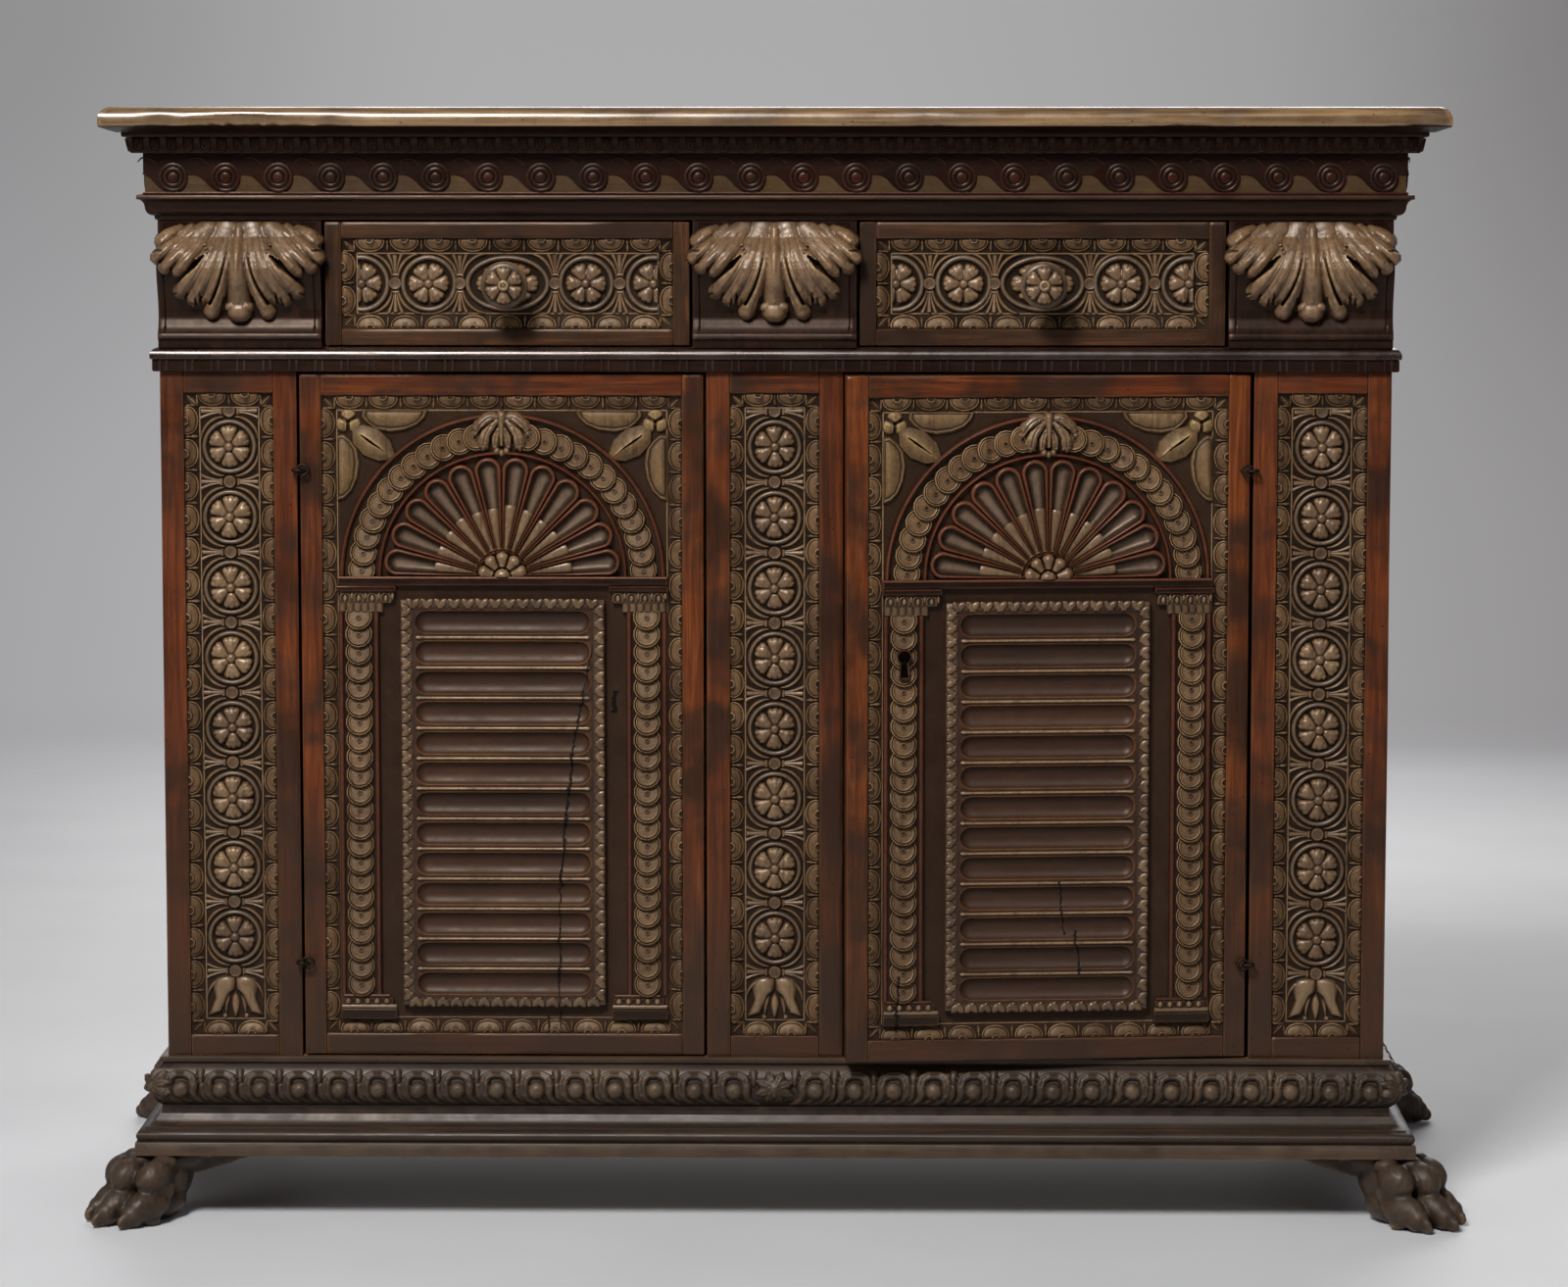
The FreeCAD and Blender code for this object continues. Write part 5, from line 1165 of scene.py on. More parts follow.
def columnForm(low, wideLow, scaleLow, scaleHigh, seed):
    # a flat column faced with overlapping scales, left edge at low
    headZ, footZ = door["impost"][0] - 26.0, door["field"]
    wide = 55.0
    centre = low + 20.0
    shaft = board((low, footZ, 0), (low + 40, headZ, 4.6), redWood, 1, seed, 0.8, 3)
    sideBeads = joined(*[bead([(x, footZ + 24), (x, headZ)], 2.6, redWood, 5, (0.2, 0.8), 4.2, 1.1)
                         for x in (low + 2.8, low + 37.2)])
    count = 22
    pitch = (scaleHigh - scaleLow) / count
    places = [scaleLow + 11.5 + k * pitch for k in range(count)]
    scales = row(coinMotif, [(centre, v, 4.6, 0, -14) for v in places], scaleGild, 0.03, 0.02, seed + 1)
    drops = row(dropMotif, [(centre, v - 0.6, 6.7, 0, -12) for v in places], scaleGild, 0.0, 0.1, seed + 2)
    fields = (low + 1, footZ), (low + 39, headZ + 1.5)
    right = wideLow + wide
    neckLow, neckHigh = (wideLow + 1, right - 11) if wideLow >= low - 0.1 else (wideLow + 11, right - 1)

    def block(start, bottom, end, top, out, finish, index):
        return board((start, bottom, 0), (end, top, out), finish, 0, seed + index, 0.8, 2)

    cap = [block(wideLow - 1.5, headZ + 20.5, right + 1.5, headZ + 26, 10.5, redWood, 4),
           block(wideLow + 2, headZ + 9.0, right - 2, headZ + 20.5, 6.2, gilding, 5),
           block(neckLow, headZ, neckHigh, headZ + 9.5, 5.4, gilding, 6)]
    hoop = [(-4.6, 10.4)] + arc(4.6, 180, 0, 9, (0, 14.2)).tolist() + [(4.6, 10.4)]
    unit = joined(bead(hoop, 1.25, gilding, 4, (0.2, 0.7), 5.8, 1.3),
                  moved(almond(7.4, 4.6, gilding, 2.4, count=4), 0, 10.2, 5.8),
                  moved(almond(8, 3.6, gilding, 2.6, count=4), 6.6, 19.8, 5.8, turn=180))
    band = [moved(unit, wideLow + 7.2 + k * 13.2, headZ) for k in range(4)]
    step = (neckHigh - neckLow) / 6
    reeds = []
    for k in range(6):
        x = neckLow + (k + 0.5) * step
        path = [(x, headZ + 0.8), (x, headZ + 8.8)]
        reeds.append(bead(path, step / 2 - 0.15, gilding, 5, (0.1, 0.6), 4.8, 0.5))
    foot = [block(wideLow, footZ, right, footZ + 10, 9.6, groundWood, 7),
            block(wideLow + 2, footZ + 14.5, right - 4, footZ + 21, 7.8, groundWood, 8)]
    for start, end, up, radius, finish, base in ((wideLow + 1, right - 1, footZ + 12.2, 2.6, gilding, 6.6),
                                                 (wideLow + 3, right - 8, footZ + 22.6, 1.9, redWood, 5.4)):
        foot.append(bead([(start, up), (end, up)], radius, finish, 5, (0.2, 0.8), base, 1.0))
    leaf = almond(6.6, 6.8, gilding, 2.6, count=4)
    leaves = [moved(leaf, wideLow + 7 + k * 9.4, footZ + 14.6, 7.6) for k in range(5)]
    return joined(shaft, sideBeads, trimmed(joined(scales, drops), *fields), *cap, *band, *reeds, *foot, *leaves)


def flutedForm(seed):
    fluted = {"low": 49.0, "high": 447.0, "width": 198.0, "flutes": 13, "pitch": 29.6, "pocket": 23.4,
              "length": 172.0, "depth": 6.8, "band": 13.0}
    height, pitch, flutes = fluted["high"] - fluted["low"], fluted["pitch"], fluted["flutes"]
    first = fluted["low"] + (height - (flutes - 1) * pitch) / 2
    cell = motif("fluteCell", fluteCell(fluted["length"], pitch, fluted["pocket"], fluted["depth"]))
    places = [first + k * pitch for k in range(flutes)]
    hollowed = row(cell, [(middle, v, 0) for v in places], fluteWood, 0.0, 0.0, seed)
    rodPath = np.array([-85, -84, -82, -79.5, -40, 0, 40, 79.5, 82, 84, 85])
    rodSize = np.array([0.6, 1.7, 2.1, 1.5, 1.5, 1.55, 1.5, 1.5, 2.1, 1.7, 0.6])
    rods = joined(*[bead(np.column_stack([middle + rodPath, np.full(11, v + pitch / 2)]), rodSize, gilding, 5,
                         (0.2, 1.0), 8.7, 1.25) for v in places[:-1]])
    wide, tall = fluted["width"] / 2, height / 2
    midUp = fluted["low"] + tall
    inW, inH = fluted["length"] / 2 + 2.2, (flutes * pitch) / 2
    rect = [np.array(rectangle(-w, -h, w, h)) + np.array([middle, midUp])
            for w, h in ((wide, tall), (wide, tall), (wide - 0.8, tall - 0.8), (inW, inH))]
    points = np.concatenate([np.column_stack([r, np.full(4, w)]) for r, w in zip(rect, (0.0, 7.6, 8.4, 8.4))])
    rimBoard = form(points, ringFaces(4, 4), np.repeat([0.1, 0.6, 0.45, 0.35], 4), gilding)
    spots = []
    bandW, bandH = (wide + inW) / 2, (tall + inH) / 2 - 0.4
    for length, side in ((2 * bandW, "low"), (2 * bandH, "right"), (2 * bandW, "high"), (2 * bandH, "left")):
        count = int(round(length / fluted["band"]))
        for k in range(count):
            t = (k + 0.5) * length / count - length / 2
            spots.append({"low": (t, -bandH, 0), "right": (bandW, t, 90), "high": (-t, bandH, 180),
                          "left": (-bandW, -t, 270)}[side])
    laurel = row(laurelMotif, [(middle + x, midUp + y, 8.2, turn) for x, y, turn in spots], gilding, 0.03, 0.06,
                 seed + 1)
    return joined(hollowed, rods, rimBoard, laurel)


keyhole = {"at": (55.5, 396.0), "eye": 6.0, "down": 20.0, "neck": 2.6, "foot": 4.2, "rim": 1.8, "out": 14.2,
           "floor": 13.2}


def keyholeForm():
    eye, down, neck, foot = keyhole["eye"], keyhole["down"], keyhole["neck"], keyhole["foot"]
    start = math.degrees(math.asin(-math.sqrt(1 - (neck / eye) ** 2)))
    outline = np.array([(foot, -down)] + arc(eye, start, 180 - start, 15).tolist() + [(-foot, -down)])
    away = outline - np.array([0, -6.0])
    away /= np.linalg.norm(away, axis=1)[:, None]
    rings = [(outline + away * keyhole["rim"], keyhole["floor"] - 5, 0.2),
             (outline + away * 0.9, keyhole["out"], 0.7), (outline, keyhole["out"] - 0.3, 0.6)]
    points = np.concatenate([np.column_stack([ring, np.full(len(ring), out)]) for ring, out, _ in rings])
    rim = form(points, ringFaces(3, len(outline)), np.repeat([level for _, _, level in rings], len(outline)),
               redWood)
    spine = np.column_stack([np.zeros(len(outline)), np.clip(outline[:, 1], -down + 2, 0)])
    # the well is a shallow floor painted near black as the shade of the hole
    well = loft(outline, spine, [(0, keyhole["out"] - 0.3, 0.2), (0.02, keyhole["floor"], 0.0),
                                 (1, keyhole["floor"], 0.0)], keyholeShade)
    return joined(rim, well)


def doorCarving(seed, locked):
    width, height = doorWidth - 2 * door["stile"], doorHeight - 2 * door["rail"]
    ground = joined(groundForm(width, height), borderForm(width, height, seed))
    ground = moved(ground, door["stile"], door["rail"])
    portal = joined(archForm(seed + 3), hubForm(), keystoneForm())
    low, high = door["impost"]
    left, right = door["field"], doorWidth - door["field"]
    shelf = board((left, low, 0), (right, high, 7.6), redWood, 0, seed + 8, 0.8, 2.5)
    lip = bead([(left + 1, high - 1.5), (right - 1, high - 1.5)], 1.6, redWood, 4, (0.3, 1.0), 7.0, 1.0)
    impost = joined(shelf, lip)
    corner = cornerLeaves()
    top = doorHeight - left - 0.5
    spandrels = joined(moved(corner, left + 1, top), moved(corner, right - 1, top, size=(-1, 1, 1)))
    spandrels = trimmed(spandrels, (left, 480), (right, top + 0.5))
    leftColumn = columnForm(35.5, 35.5, 58.0, 436.0, seed + 20)
    columns = joined(leftColumn, columnForm(doorWidth - 75.5, doorWidth - 90.5, 58.0, 436.0, seed + 40))
    if locked:
        columns = joined(columns, moved(keyholeForm(), *keyhole["at"]))
    return ground, joined(portal, impost, spandrels, columns), flutedForm(seed + 60)


for side in ("left", "right"):
    leafX = doorLow.x if side == "left" else -doorHigh.x
    at = (leafX, doorLow.y + recess * mm, doorLow.z)
    swing = swingRight if side == "right" else None
    body = f"{side}_door"
    seed = 300 if side == "left" else 500
    ground, portal, fluted = doorCarving(seed, side == "right")
    leafFrame = frameForm(doorWidth, doorHeight, door["stile"], door["rail"], seed + 90, doorWalnut)
    for label, source in (("Frame", leafFrame), ("Panel", ground), ("Portal", portal), ("Flutes", fluted)):
        piece(f"{side}Door{label}", source, body, at, [f"{side}_door_{label.lower()}"], swing)
print("doors carved")

# drawers: roses in rings, an oval behind the knob
drawer = {"frame": 16.0, "ring": 28.0, "rose": 20.5, "roses": (-141.0, -76.0, 76.0, 141.0),
          "links": (-108.5, -46.0, 46.0, 108.5)}
drawerWidth, drawerHeight = (drawerHigh.x - drawerLow.x) / mm, (drawerHigh.z - drawerLow.z) / mm
drawerRose = motif("drawerRose", rosetteForm(drawer["rose"], 6, gilding, 0.0))
drawerRing = motif("drawerRing", hoopForm(drawer["ring"], 5.6))
ovalRing = motif("ovalRing", hoopForm(27.5, 5.4, 4.2, 44, 1.5))
drawerLink = motif("drawerLink", linkForm(32.5, drawer["ring"]))


def drawerPanel(seed):
    width, height = drawerWidth - 2 * drawer["frame"], drawerHeight - 2 * drawer["frame"]
    x, y = width / 2, height / 2
    chain = joined(row(drawerRing, [(x + t, y, 0) for t in drawer["roses"]], redGild, 0.01, 0.02, seed),
                   row(ovalRing, [(x, y, 0)], redGild, 0.0, 0.0, seed + 1),
                   row(drawerLink, [(x + t, y, 0, 90) for t in drawer["links"]], gilding, 0.02, 0.03, seed + 2),
                   row(drawerRose, [(x + t, y, 0) for t in drawer["roses"]], gilding, 0.05, 0.03, seed + 3),
                   row(drawerRose, [(x, y, 0, 0, 0, 0, (1.5, 1.0, 1.0))], gilding, 0.0, 0.0, seed + 4))
    edge = border["width"] + 1.2
    return joined(groundForm(width, height, shadedGround), borderForm(width, height, seed + 5),
                  trimmed(chain, (edge, edge), (width - edge, height - edge)))


def knobForm():
    knob = {"petals": 6, "rose": 18.6}
    profile = [(17, 0, 0.3), (17, 4.5, 0.8), (15.5, 6.2, 0.9), (10, 12, 0.2), (8.6, 18, 0.1), (8.6, 26, 0.1),
               (11, 33, 0.1), (16.5, 39, 0.2), (21.4, 44, 0.4), (22.8, 47.5, 0.7), (22.6, 50, 0.8),
               (21.6, 52.4, 0.8), (20.2, 54.0, 0.4), (17.5, 54.4, 0.0), (8, 55, 0.0), (0, 55, 0.0)]
    body = turnedForm(profile, 40, gilding)
    flower = moved(rosetteForm(knob["rose"], knob["petals"], gilding), 0, 0, 53.6, size=(1, 1, 1.05))
    # the boss's hole is painted dark as shade
    boss = turnedForm([(6.0, 58.0, 0.0), (5.8, 61.4, 0.6), (4.6, 63.2, 1.0), (2.8, 63.4, 0.9), (1.7, 62.4, 0.2),
                       (1.3, 61.0, -0.6), (0, 60.8, -0.8)], 16, gilding)
    return joined(body, flower, boss)


for side in ("left", "right"):
    low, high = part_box(f"{side}_drawer_frame")
    at = (low.x, low.y + recess * mm, low.z)
    body = f"{side}_drawer"
    seed = 700 if side == "left" else 760
    joinery = frameForm(drawerWidth, drawerHeight, drawer["frame"], drawer["frame"], seed, drawerWalnut)
    piece(f"{side}DrawerFrame", joinery, body, at, [f"{side}_drawer_frame"])
    corner = (at[0] + drawer["frame"] * mm, at[1], at[2] + drawer["frame"] * mm)
    piece(f"{side}DrawerCarving", drawerPanel(seed + 10), body, corner, [f"{side}_drawer_panel"])
    middleAt = ((low.x + high.x) / 2, at[1], (low.z + high.z) / 2)
    piece(f"{side}KnobCarving", knobForm(), body, middleAt, [f"{side}_knob"])
print("drawers carved")


# mouldings: swept round the front and both sides, in (across, up, out) with out measured from the axis
def sweepForm(profile, finish, levels, z, step=24.0, wobble=0.35, seed=1, chip=None):
    # profile of (projection, height), anticlockwise from the inner lower corner
    count = len(profile)
    frontCuts = np.linspace(-1, 1, int(2 * half / step))
    sideCuts = np.linspace(0, 1, int((back - front) / step))
    runs = [(-1, s) for s in sideCuts[::-1]] + [(0, s) for s in frontCuts[1:-1]] + [(1, s) for s in sideCuts]
    points, grain, sideShift = [], [], 2000
    for sign, s in runs:
        for p, h in profile:
            x, y = (half + p) * s, front - p
            along = x
            if sign:
                x, y = sign * (half + p), y + (back - front + p) * s
                along = y + sideShift * sign
            points.append((x, z + h, -y))
            grain.append((along, z + h, p))
    points = np.array(points)
    outer = np.tile(np.array([p for p, _ in profile]) > 1.0, len(runs))
    shift = ripple(points, 0.03, seed) * wobble * outer
    away = np.column_stack([points[:, 0] / (half + 40), np.zeros(len(points)), points[:, 2] / (abs(front) + 40)])
    away /= np.maximum(np.linalg.norm(away, axis=1), 0.3)[:, None]
    points = points + away * (shift - wobble * outer)[:, None]
    if chip is not None:
        points = chip(points, np.tile(np.array(profile), (len(runs), 1)))
    faces = ringFaces(len(runs), count)
    faces += [tuple(range(count))[::-1], tuple(range(len(points) - count, len(points)))]
    return form(points, [face[::-1] for face in faces], np.tile(levels, len(runs)), finish, 0.0, np.array(grain))


def curve(start, end, bulge, count=6):  # an arc between two profile points, with both
    (x0, y0), (x1, y1) = start, end
    chord = math.hypot(x1 - x0, y1 - y0)
    sag = bulge * chord / 2
    nx, ny = (y1 - y0) / chord, -(x1 - x0) / chord
    made = [start]
    for t in np.linspace(0, 1, count + 1)[1:-1]:
        bow = sag * 4 * t * (1 - t)
        made.append((x0 + (x1 - x0) * t + nx * bow, y0 + (y1 - y0) * t + ny * bow))
    return made + [end]


def levelsOf(profile):  # a profile's arrises are rubbed
    made = []
    count = len(profile)
    for k in range(count):
        a, b, c = (np.array(profile[(k + d) % count], float) for d in (-1, 0, 1))
        u, v = b - a, c - b
        bend = (u[0] * v[1] - u[1] * v[0]) / (np.linalg.norm(u) * np.linalg.norm(v) + 1e-9)
        made.append(float(np.clip(0.15 + bend, 0, 1)))
    return made


def moulding(name, node, profile, z, finish, slot, extra=(), **more):
    swept = sweepForm(profile, finish, levelsOf(profile), z, **more)
    return piece(name, joined(swept, *extra), "carcass", (0, 0, 0), [node])


def stations(pitch, projection):
    # evenly spaced places along the front and the two returns: (x, y, yaw)
    length, depth = 2 * (half + projection), back - front + projection
    count, many = int(round(length / pitch)), int(round(depth / pitch))
    spots = [((k + 0.5) * length / count - length / 2, front - projection, 0.0) for k in range(count)]
    for k in range(many):
        y = front - projection + (k + 0.5) * depth / many
        spots += [(-half - projection, y, -90.0), (half + projection, y, 90.0)]
    return spots


def caseSpots(spots, z, out=0.0):  # stations to spots of (across, up, out, turn, tilt, yaw) on the case
    return [(math.copysign(half + out, yaw), z, -y, 0, 0, yaw) if yaw else (x, z, out - front, 0, 0, 0)
            for x, y, yaw in spots]


level = {node.split("_")[0]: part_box(node)[0].z / mm
         for node in ("plinth_moulding", "torus_moulding", "string_moulding", "cyma_moulding", "frieze_boards",
                      "tongue_moulding", "top_board")}

plinthProfile = [(0, 0), (30, 0), (30, 12.4), (29.3, 13.2)] + curve((26, 13.7), (23.5, 25), 0.75, 7)
plinthProfile += [(21, 25.8)] + curve((21, 27), (9, 36.5), -0.35) + [(8, 38), (6, 38), (6, 46), (0, 46)]
moulding("plinthMoulding", "plinth_moulding", plinthProfile, level["plinth"], darkWalnut, "dark_walnut", seed=11)

torus = {"centre": -2.16, "radius": 22.2, "mid": 20.64, "pitch": 38.2, "sunk": 4.0}
torusRound = [(torus["centre"] + (torus["radius"] - torus["sunk"]) * math.cos(a),
               torus["mid"] + torus["radius"] * math.sin(a)) for a in np.radians(np.linspace(-68, 68, 13))]
torusProfile = [(0, 0)] + torusRound + [(5.2, 42), (4.6, 43), (7, 43.2), (7.4, 44.5), (7, 48), (0, 48)]


def onTorus(whole):
    across, up, out = whole["points"].T
    angle = up / torus["radius"]
    reach = torus["radius"] - torus["sunk"] + out
    up, out = torus["mid"] + reach * np.sin(angle), torus["centre"] + reach * np.cos(angle)
    whole["points"] = np.column_stack([across, up, out])
    return whole


def gadroonForm():
    # an egg under a square hood whose legs twist away, laid on the round of the base
    strokes = [
        stroke([(-12.6, -7), (-13.6, 3), (-12, 11), (-6, 14.6), (3, 14.6), (9.8, 11), (11.8, 3), (10.8, -5)],
               5.2, 6.0),
        stroke([(-12.6, -7), (-9.5, -14), (-2, -20), (8, -26.5)], [5.0, 4.4, 3.8, 3.0], [6.0, 5.4, 4.6, 3.0]),
        stroke([(-20, 2), (-18.5, -10), (-11, -19), (-1, -26.5)], [3.2, 3.8, 3.6, 3.0], [4.2, 4.8, 4.2, 3.0]),
        stroke([(10.8, -5), (12.4, -12), (18, -20), (27, -26.5)], [4.8, 4.4, 3.6, 3.0], [6.0, 5.0, 4.2, 3.0]),
        stroke([(-1.4, -3.2), (-0.4, -2.6)], 9.0, 10.0),
        stroke([(0, -12), (4, -17), (13, -23.5)], [4.4, 4.0, 3.0], [4.4, 4.0, 3.0]),
        stroke([(18.4, 18), (18.8, 11), (19, 3)], [5.0, 3.6, 1.8], [5.6, 5.2, 3.0]),
    ]
    groove = [(-12.6, -5), (-13.6, 3), (-12, 10.6), (-6, 14.4), (3, 14.4), (9.8, 10.6), (11.6, 3)]
    lines = [stroke(groove, 1.2, 1.4)]
    return onTorus(carvedField(strokes, (-22, -29), (29, 22), 1.4, baseCarving, None, lines))


def knotForm():  # a leafy knot at the middle and the corners of the base
    ways = [ray(turn) for turn in range(20, 380, 45)]
    strokes = [stroke([(0, -2), (0, -1)], 10.0, 9.0)]
    strokes += [stroke([way * 5, way * 12, way * 17.5], [4.0, 5.6, 3.0], [8.0, 6.4, 4.0]) for way in ways]
    lines = [stroke([way * 4, way * 15], 1.0, [1.6, 1.2]) for way in ways]
    return onTorus(carvedField(strokes, (-22, -24), (22, 22), 1.4, baseCarving, None, lines))


knot = motif("baseKnot", knotForm())
gadroon = motif("gadroon", gadroonForm())
gadroonBack = motif("gadroonMirrored", moved(gadroonForm(), size=(-1, 1, 1)))
torusSpots = stations(torus["pitch"], 4.0)
frontSpots = [s for s in torusSpots if s[2] == 0 and 12 < abs(s[0]) < half - 12]
sideSpots = [s for s in torusSpots if s[2] != 0 and front + 24 < s[1] < back - 14]
leftward = caseSpots([s for s in frontSpots if s[0] < 0] + [s for s in sideSpots if s[2] > 0], level["torus"])
rightward = caseSpots([s for s in frontSpots if s[0] > 0] + [s for s in sideSpots if s[2] < 0], level["torus"])
knots = [(0, level["torus"], -front, 0, 0, 0)]
knots += [(half * sign * 0.998, level["torus"], -front - 2, 0, 0, 45 * sign) for sign in (-1, 1)]
gadroons = joined(row(knot, knots, baseCarving, 0.0, 0.0, 30),
                  row(gadroon, leftward, baseCarving, 0.01, 0.03, 31),
                  row(gadroonBack, rightward, baseCarving, 0.01, 0.03, 32))
moulding("torusMoulding", "torus_moulding", torusProfile, level["torus"], darkWalnut, "dark_walnut", [gadroons],
         seed=12)

stringProfile = [(0, 0), (5.5, 0), (5.5, 11.4)] + curve((8.4, 12.2), (1.2, 23), 0.5, 8) + [(0, 23)]


def dentilForm():
    bar = board((-1.1, 0.6, -0.4), (1.1, 11.2, 1.6), corniceWalnutShaded, 1, 5, 0.4, 0.8, 20, 0.05)
    return joined(moved(bar, -3.4), moved(bar, 3.4))


dentil = motif("dentilPair", dentilForm())
stringSpots = caseSpots(stations(25.2, 8.0), level["string"], 5.5)
stringBand = sweepForm([(0, 0.3), (5.9, 0.3), (5.9, 11.2), (0, 11.2)], corniceWalnutShaded, [0.05, 0.1, 0.05, 0.05],
                       level["string"], seed=13)
moulding("stringMoulding", "string_moulding", stringProfile, level["string"], stringWalnut, "walnut",
         [stringBand, row(dentil, stringSpots, stringWalnut, 0.01, 0.05, 33)], seed=13)

cymaProfile = [(0, 0), (2, 0)] + curve((3, 3.8), (10.8, 12), 0.4) + curve((10.8, 12), (18, 20), -0.4)[1:]
cymaProfile += [(18, 23.4), (17.4, 24), (0, 24)]
moulding("cymaMoulding", "cyma_moulding", cymaProfile, level["cyma"], corniceWalnutShaded, "walnut", seed=14)

tongueProfile = [(0, 0), (22, 0)] + curve((22.5, 1.6), (26, 15), -0.15, 5)
tongueProfile += [(29.2, 15.6), (30, 17), (30, 20), (0, 20)]


def tongueForm():
    hang = [(5.4, 14.5), (5.6, 7.5), (4.6, 3.6), (2.4, 1.4)]
    outline = np.array([(-x, y) for x, y in hang] + [(0, 0.8)] + hang[::-1])
    return loft(outline, np.column_stack([outline[:, 0] * 0.2, np.clip(outline[:, 1], 5, 12)]),
                [(0, -0.5, 0.1), (0.12, 2.6, 0.8), (0.28, 2.7, 0.9), (0.42, 0.9, 0.05), (1, 1.5, 0.25)],
                corniceWalnutShaded, lambda flat: np.interp(flat[:, 1], [0, 15], [-0.6, 2.6]))


tongue = motif("tongue", tongueForm())
tongueSpots = caseSpots(stations(16.0, 23.0), level["tongue"], 22.6)
moulding("tongueMoulding", "tongue_moulding", tongueProfile, level["tongue"], corniceWalnutShaded, "gilded_carving",
         [row(tongue, tongueSpots, corniceWalnutShaded, 0.02, 0.06, 34)], seed=15)


def waveForm():
    # one rolling scroll: a round with a button, whose shoulder rises to the left into the board above
    body = np.array([(-31, 3.4), (-25, 1.2), (-20.5, -2.8), (-16, -8), (-10.5, -12.4), (-4, -14.4), (3, -14.4),
                     (9, -12.0), (12.8, -7.2), (14.2, -0.5), (13.2, 5.6), (9.6, 10.4), (4, 13.4), (-4, 14.2),
                     (-14, 12.2), (-24, 8.4)])
    run = np.clip(body[:, 0], -22, 1)
    spine = np.column_stack([run, np.interp(run, [-22, -12, -2], [4.6, 2.0, 0])])
    comma = loft(body, spine, [(0, -0.2, 0.25), (0.06, 1.1, 0.45), (1, 1.25, 0.45)], redWood)
    # the disc's two ring grooves are painted dark as shade
    disc = turnedForm([(14.6, 0.4, 0.2), (14.2, 2.0, 0.6), (12.8, 2.5, 0.7), (11.4, 2.3, 0.5), (10.6, 1.5, -0.3),
                       (9.8, 2.2, 0.5), (7.2, 2.4, 0.55), (6.0, 1.6, -0.3), (5.2, 2.7, 0.65), (3.4, 3.2, 0.7),
                       (0, 3.3, 0.7)], 20, redWood)
    crest = bead(np.array([(-35, 15), (-31, 19), (-25, 19.4), (-20, 17), (-16, 12.5)]),
                 np.array([0.5, 0.9, 1.1, 1.0, 0.6]), redWood, 4, (0.4, 1.1), 0.9, 1.0)
    return joined(comma, disc, crest)


wave = motif("scrollWave", waveForm())
# the frieze's gilded ground, darkened as painted shade under the top's overhang
friezeGroundShaded = carvedFinish("friezeGroundShaded",
                            {**gildLook, "bare": (0.68, 0.92, 0.6, "#2c180e"), "low": (0.0, "#352619"),
                             "metal": 0.1, "shine": 0.25,
                             "levels": fade("#120a05 #2f2113 #46331e #58432a", 0, 0.4, 0.8, 1)})
friezeSpots = caseSpots([(x + 3, y, yaw) for x, y, yaw in stations(49.7, 11.0)], level["frieze"] + 16.5, 10.4)
friezeSpots = [s for s in friezeSpots if s[5] != 0 or s[0] < half - 6]
friezeLow = sweepForm([(0, 0), (10.4, 0), (10.4, 20), (0, 20)], friezeGroundShaded, [0.4, 0.6, 0.6, 0.4],
                      level["frieze"], seed=16)
friezeHigh = sweepForm([(0, 19), (11.2, 19), (11.8, 20), (11.8, 40), (0, 40)], friezeRedShaded,
                       [0.3, 0.4, 0.5, 0.3, 0.3], level["frieze"], seed=16)
friezeFoot = sweepForm([(9, 0), (12, 0), (12.6, 1.2), (12, 2.6), (9, 2.8)], friezeRedShaded, [0.3, 0.5, 0.9, 0.6, 0.3],
                       level["frieze"], seed=16)
waves = row(wave, friezeSpots, friezeRedShaded, 0.015, 0.03, 35)
piece("friezeCarving", joined(friezeLow, friezeHigh, friezeFoot, waves), "carcass", (0, 0, 0), ["frieze_boards"])


# the top: a rubbed edge with a few chips
def chipTop(points, profile):
    made = points.copy()
    edge = (profile[:, 0] > 40) & (profile[:, 1] < 19)
    onFront = np.abs(made[:, 2] + front) > 30
    for at, wide, deep, seed in ((-505, 62, 7.0, 1), (-588, 22, 4.0, 2), (-430, 40, 3.0, 3), (388, 34, 3.4, 4),
                                 (612, 30, 4.0, 5), (150, 26, 2.0, 6)):
        near = np.clip(1 - np.abs(made[:, 0] - at) / wide, 0, 1) ** 0.7
        jag = 0.65 + 0.7 * ripple(made, 0.35, seed + 40)
        low = np.clip((19 - profile[:, 1]) / 12, 0, 1)
        made[:, 2] -= edge * onFront * near * deep * jag * low
        made[:, 1] += edge * onFront * near * deep * 0.35 * jag * low * (profile[:, 1] < 8)
    return made


topRound = [(38 + 12 * math.cos(a), 12 + 12 * math.sin(a)) for a in np.radians(np.linspace(8, 90, 8))]
topProfile = [(-120, 0), (34, 0), (49.2, 5.6), (50, 6.4), (50, 11)] + topRound + [(-120, 24)]
topLevels = [0.1, 0.2, 0.85, 0.9, 0.8, 0.75, 0.75, 0.7, 0.6, 0.5, 0.4, 0.35, 0.3, 0.25]
topSwept = sweepForm(topProfile, topWalnut, topLevels, level["top"], 5.0, 0.7, 17, chipTop)
inner = [(-half + 120, back), (-half + 120, front + 120), (half - 120, front + 120), (half - 120, back)]
plank = form([(x, level["top"] + h, -y) for h in (0, 24) for x, y in inner],
             [(0, 3, 2, 1), (4, 5, 6, 7), (3, 0, 4, 7)], 0.3, topWalnut, 0.0,
             [(x, h, y) for h in (0, 24) for x, y in inner])
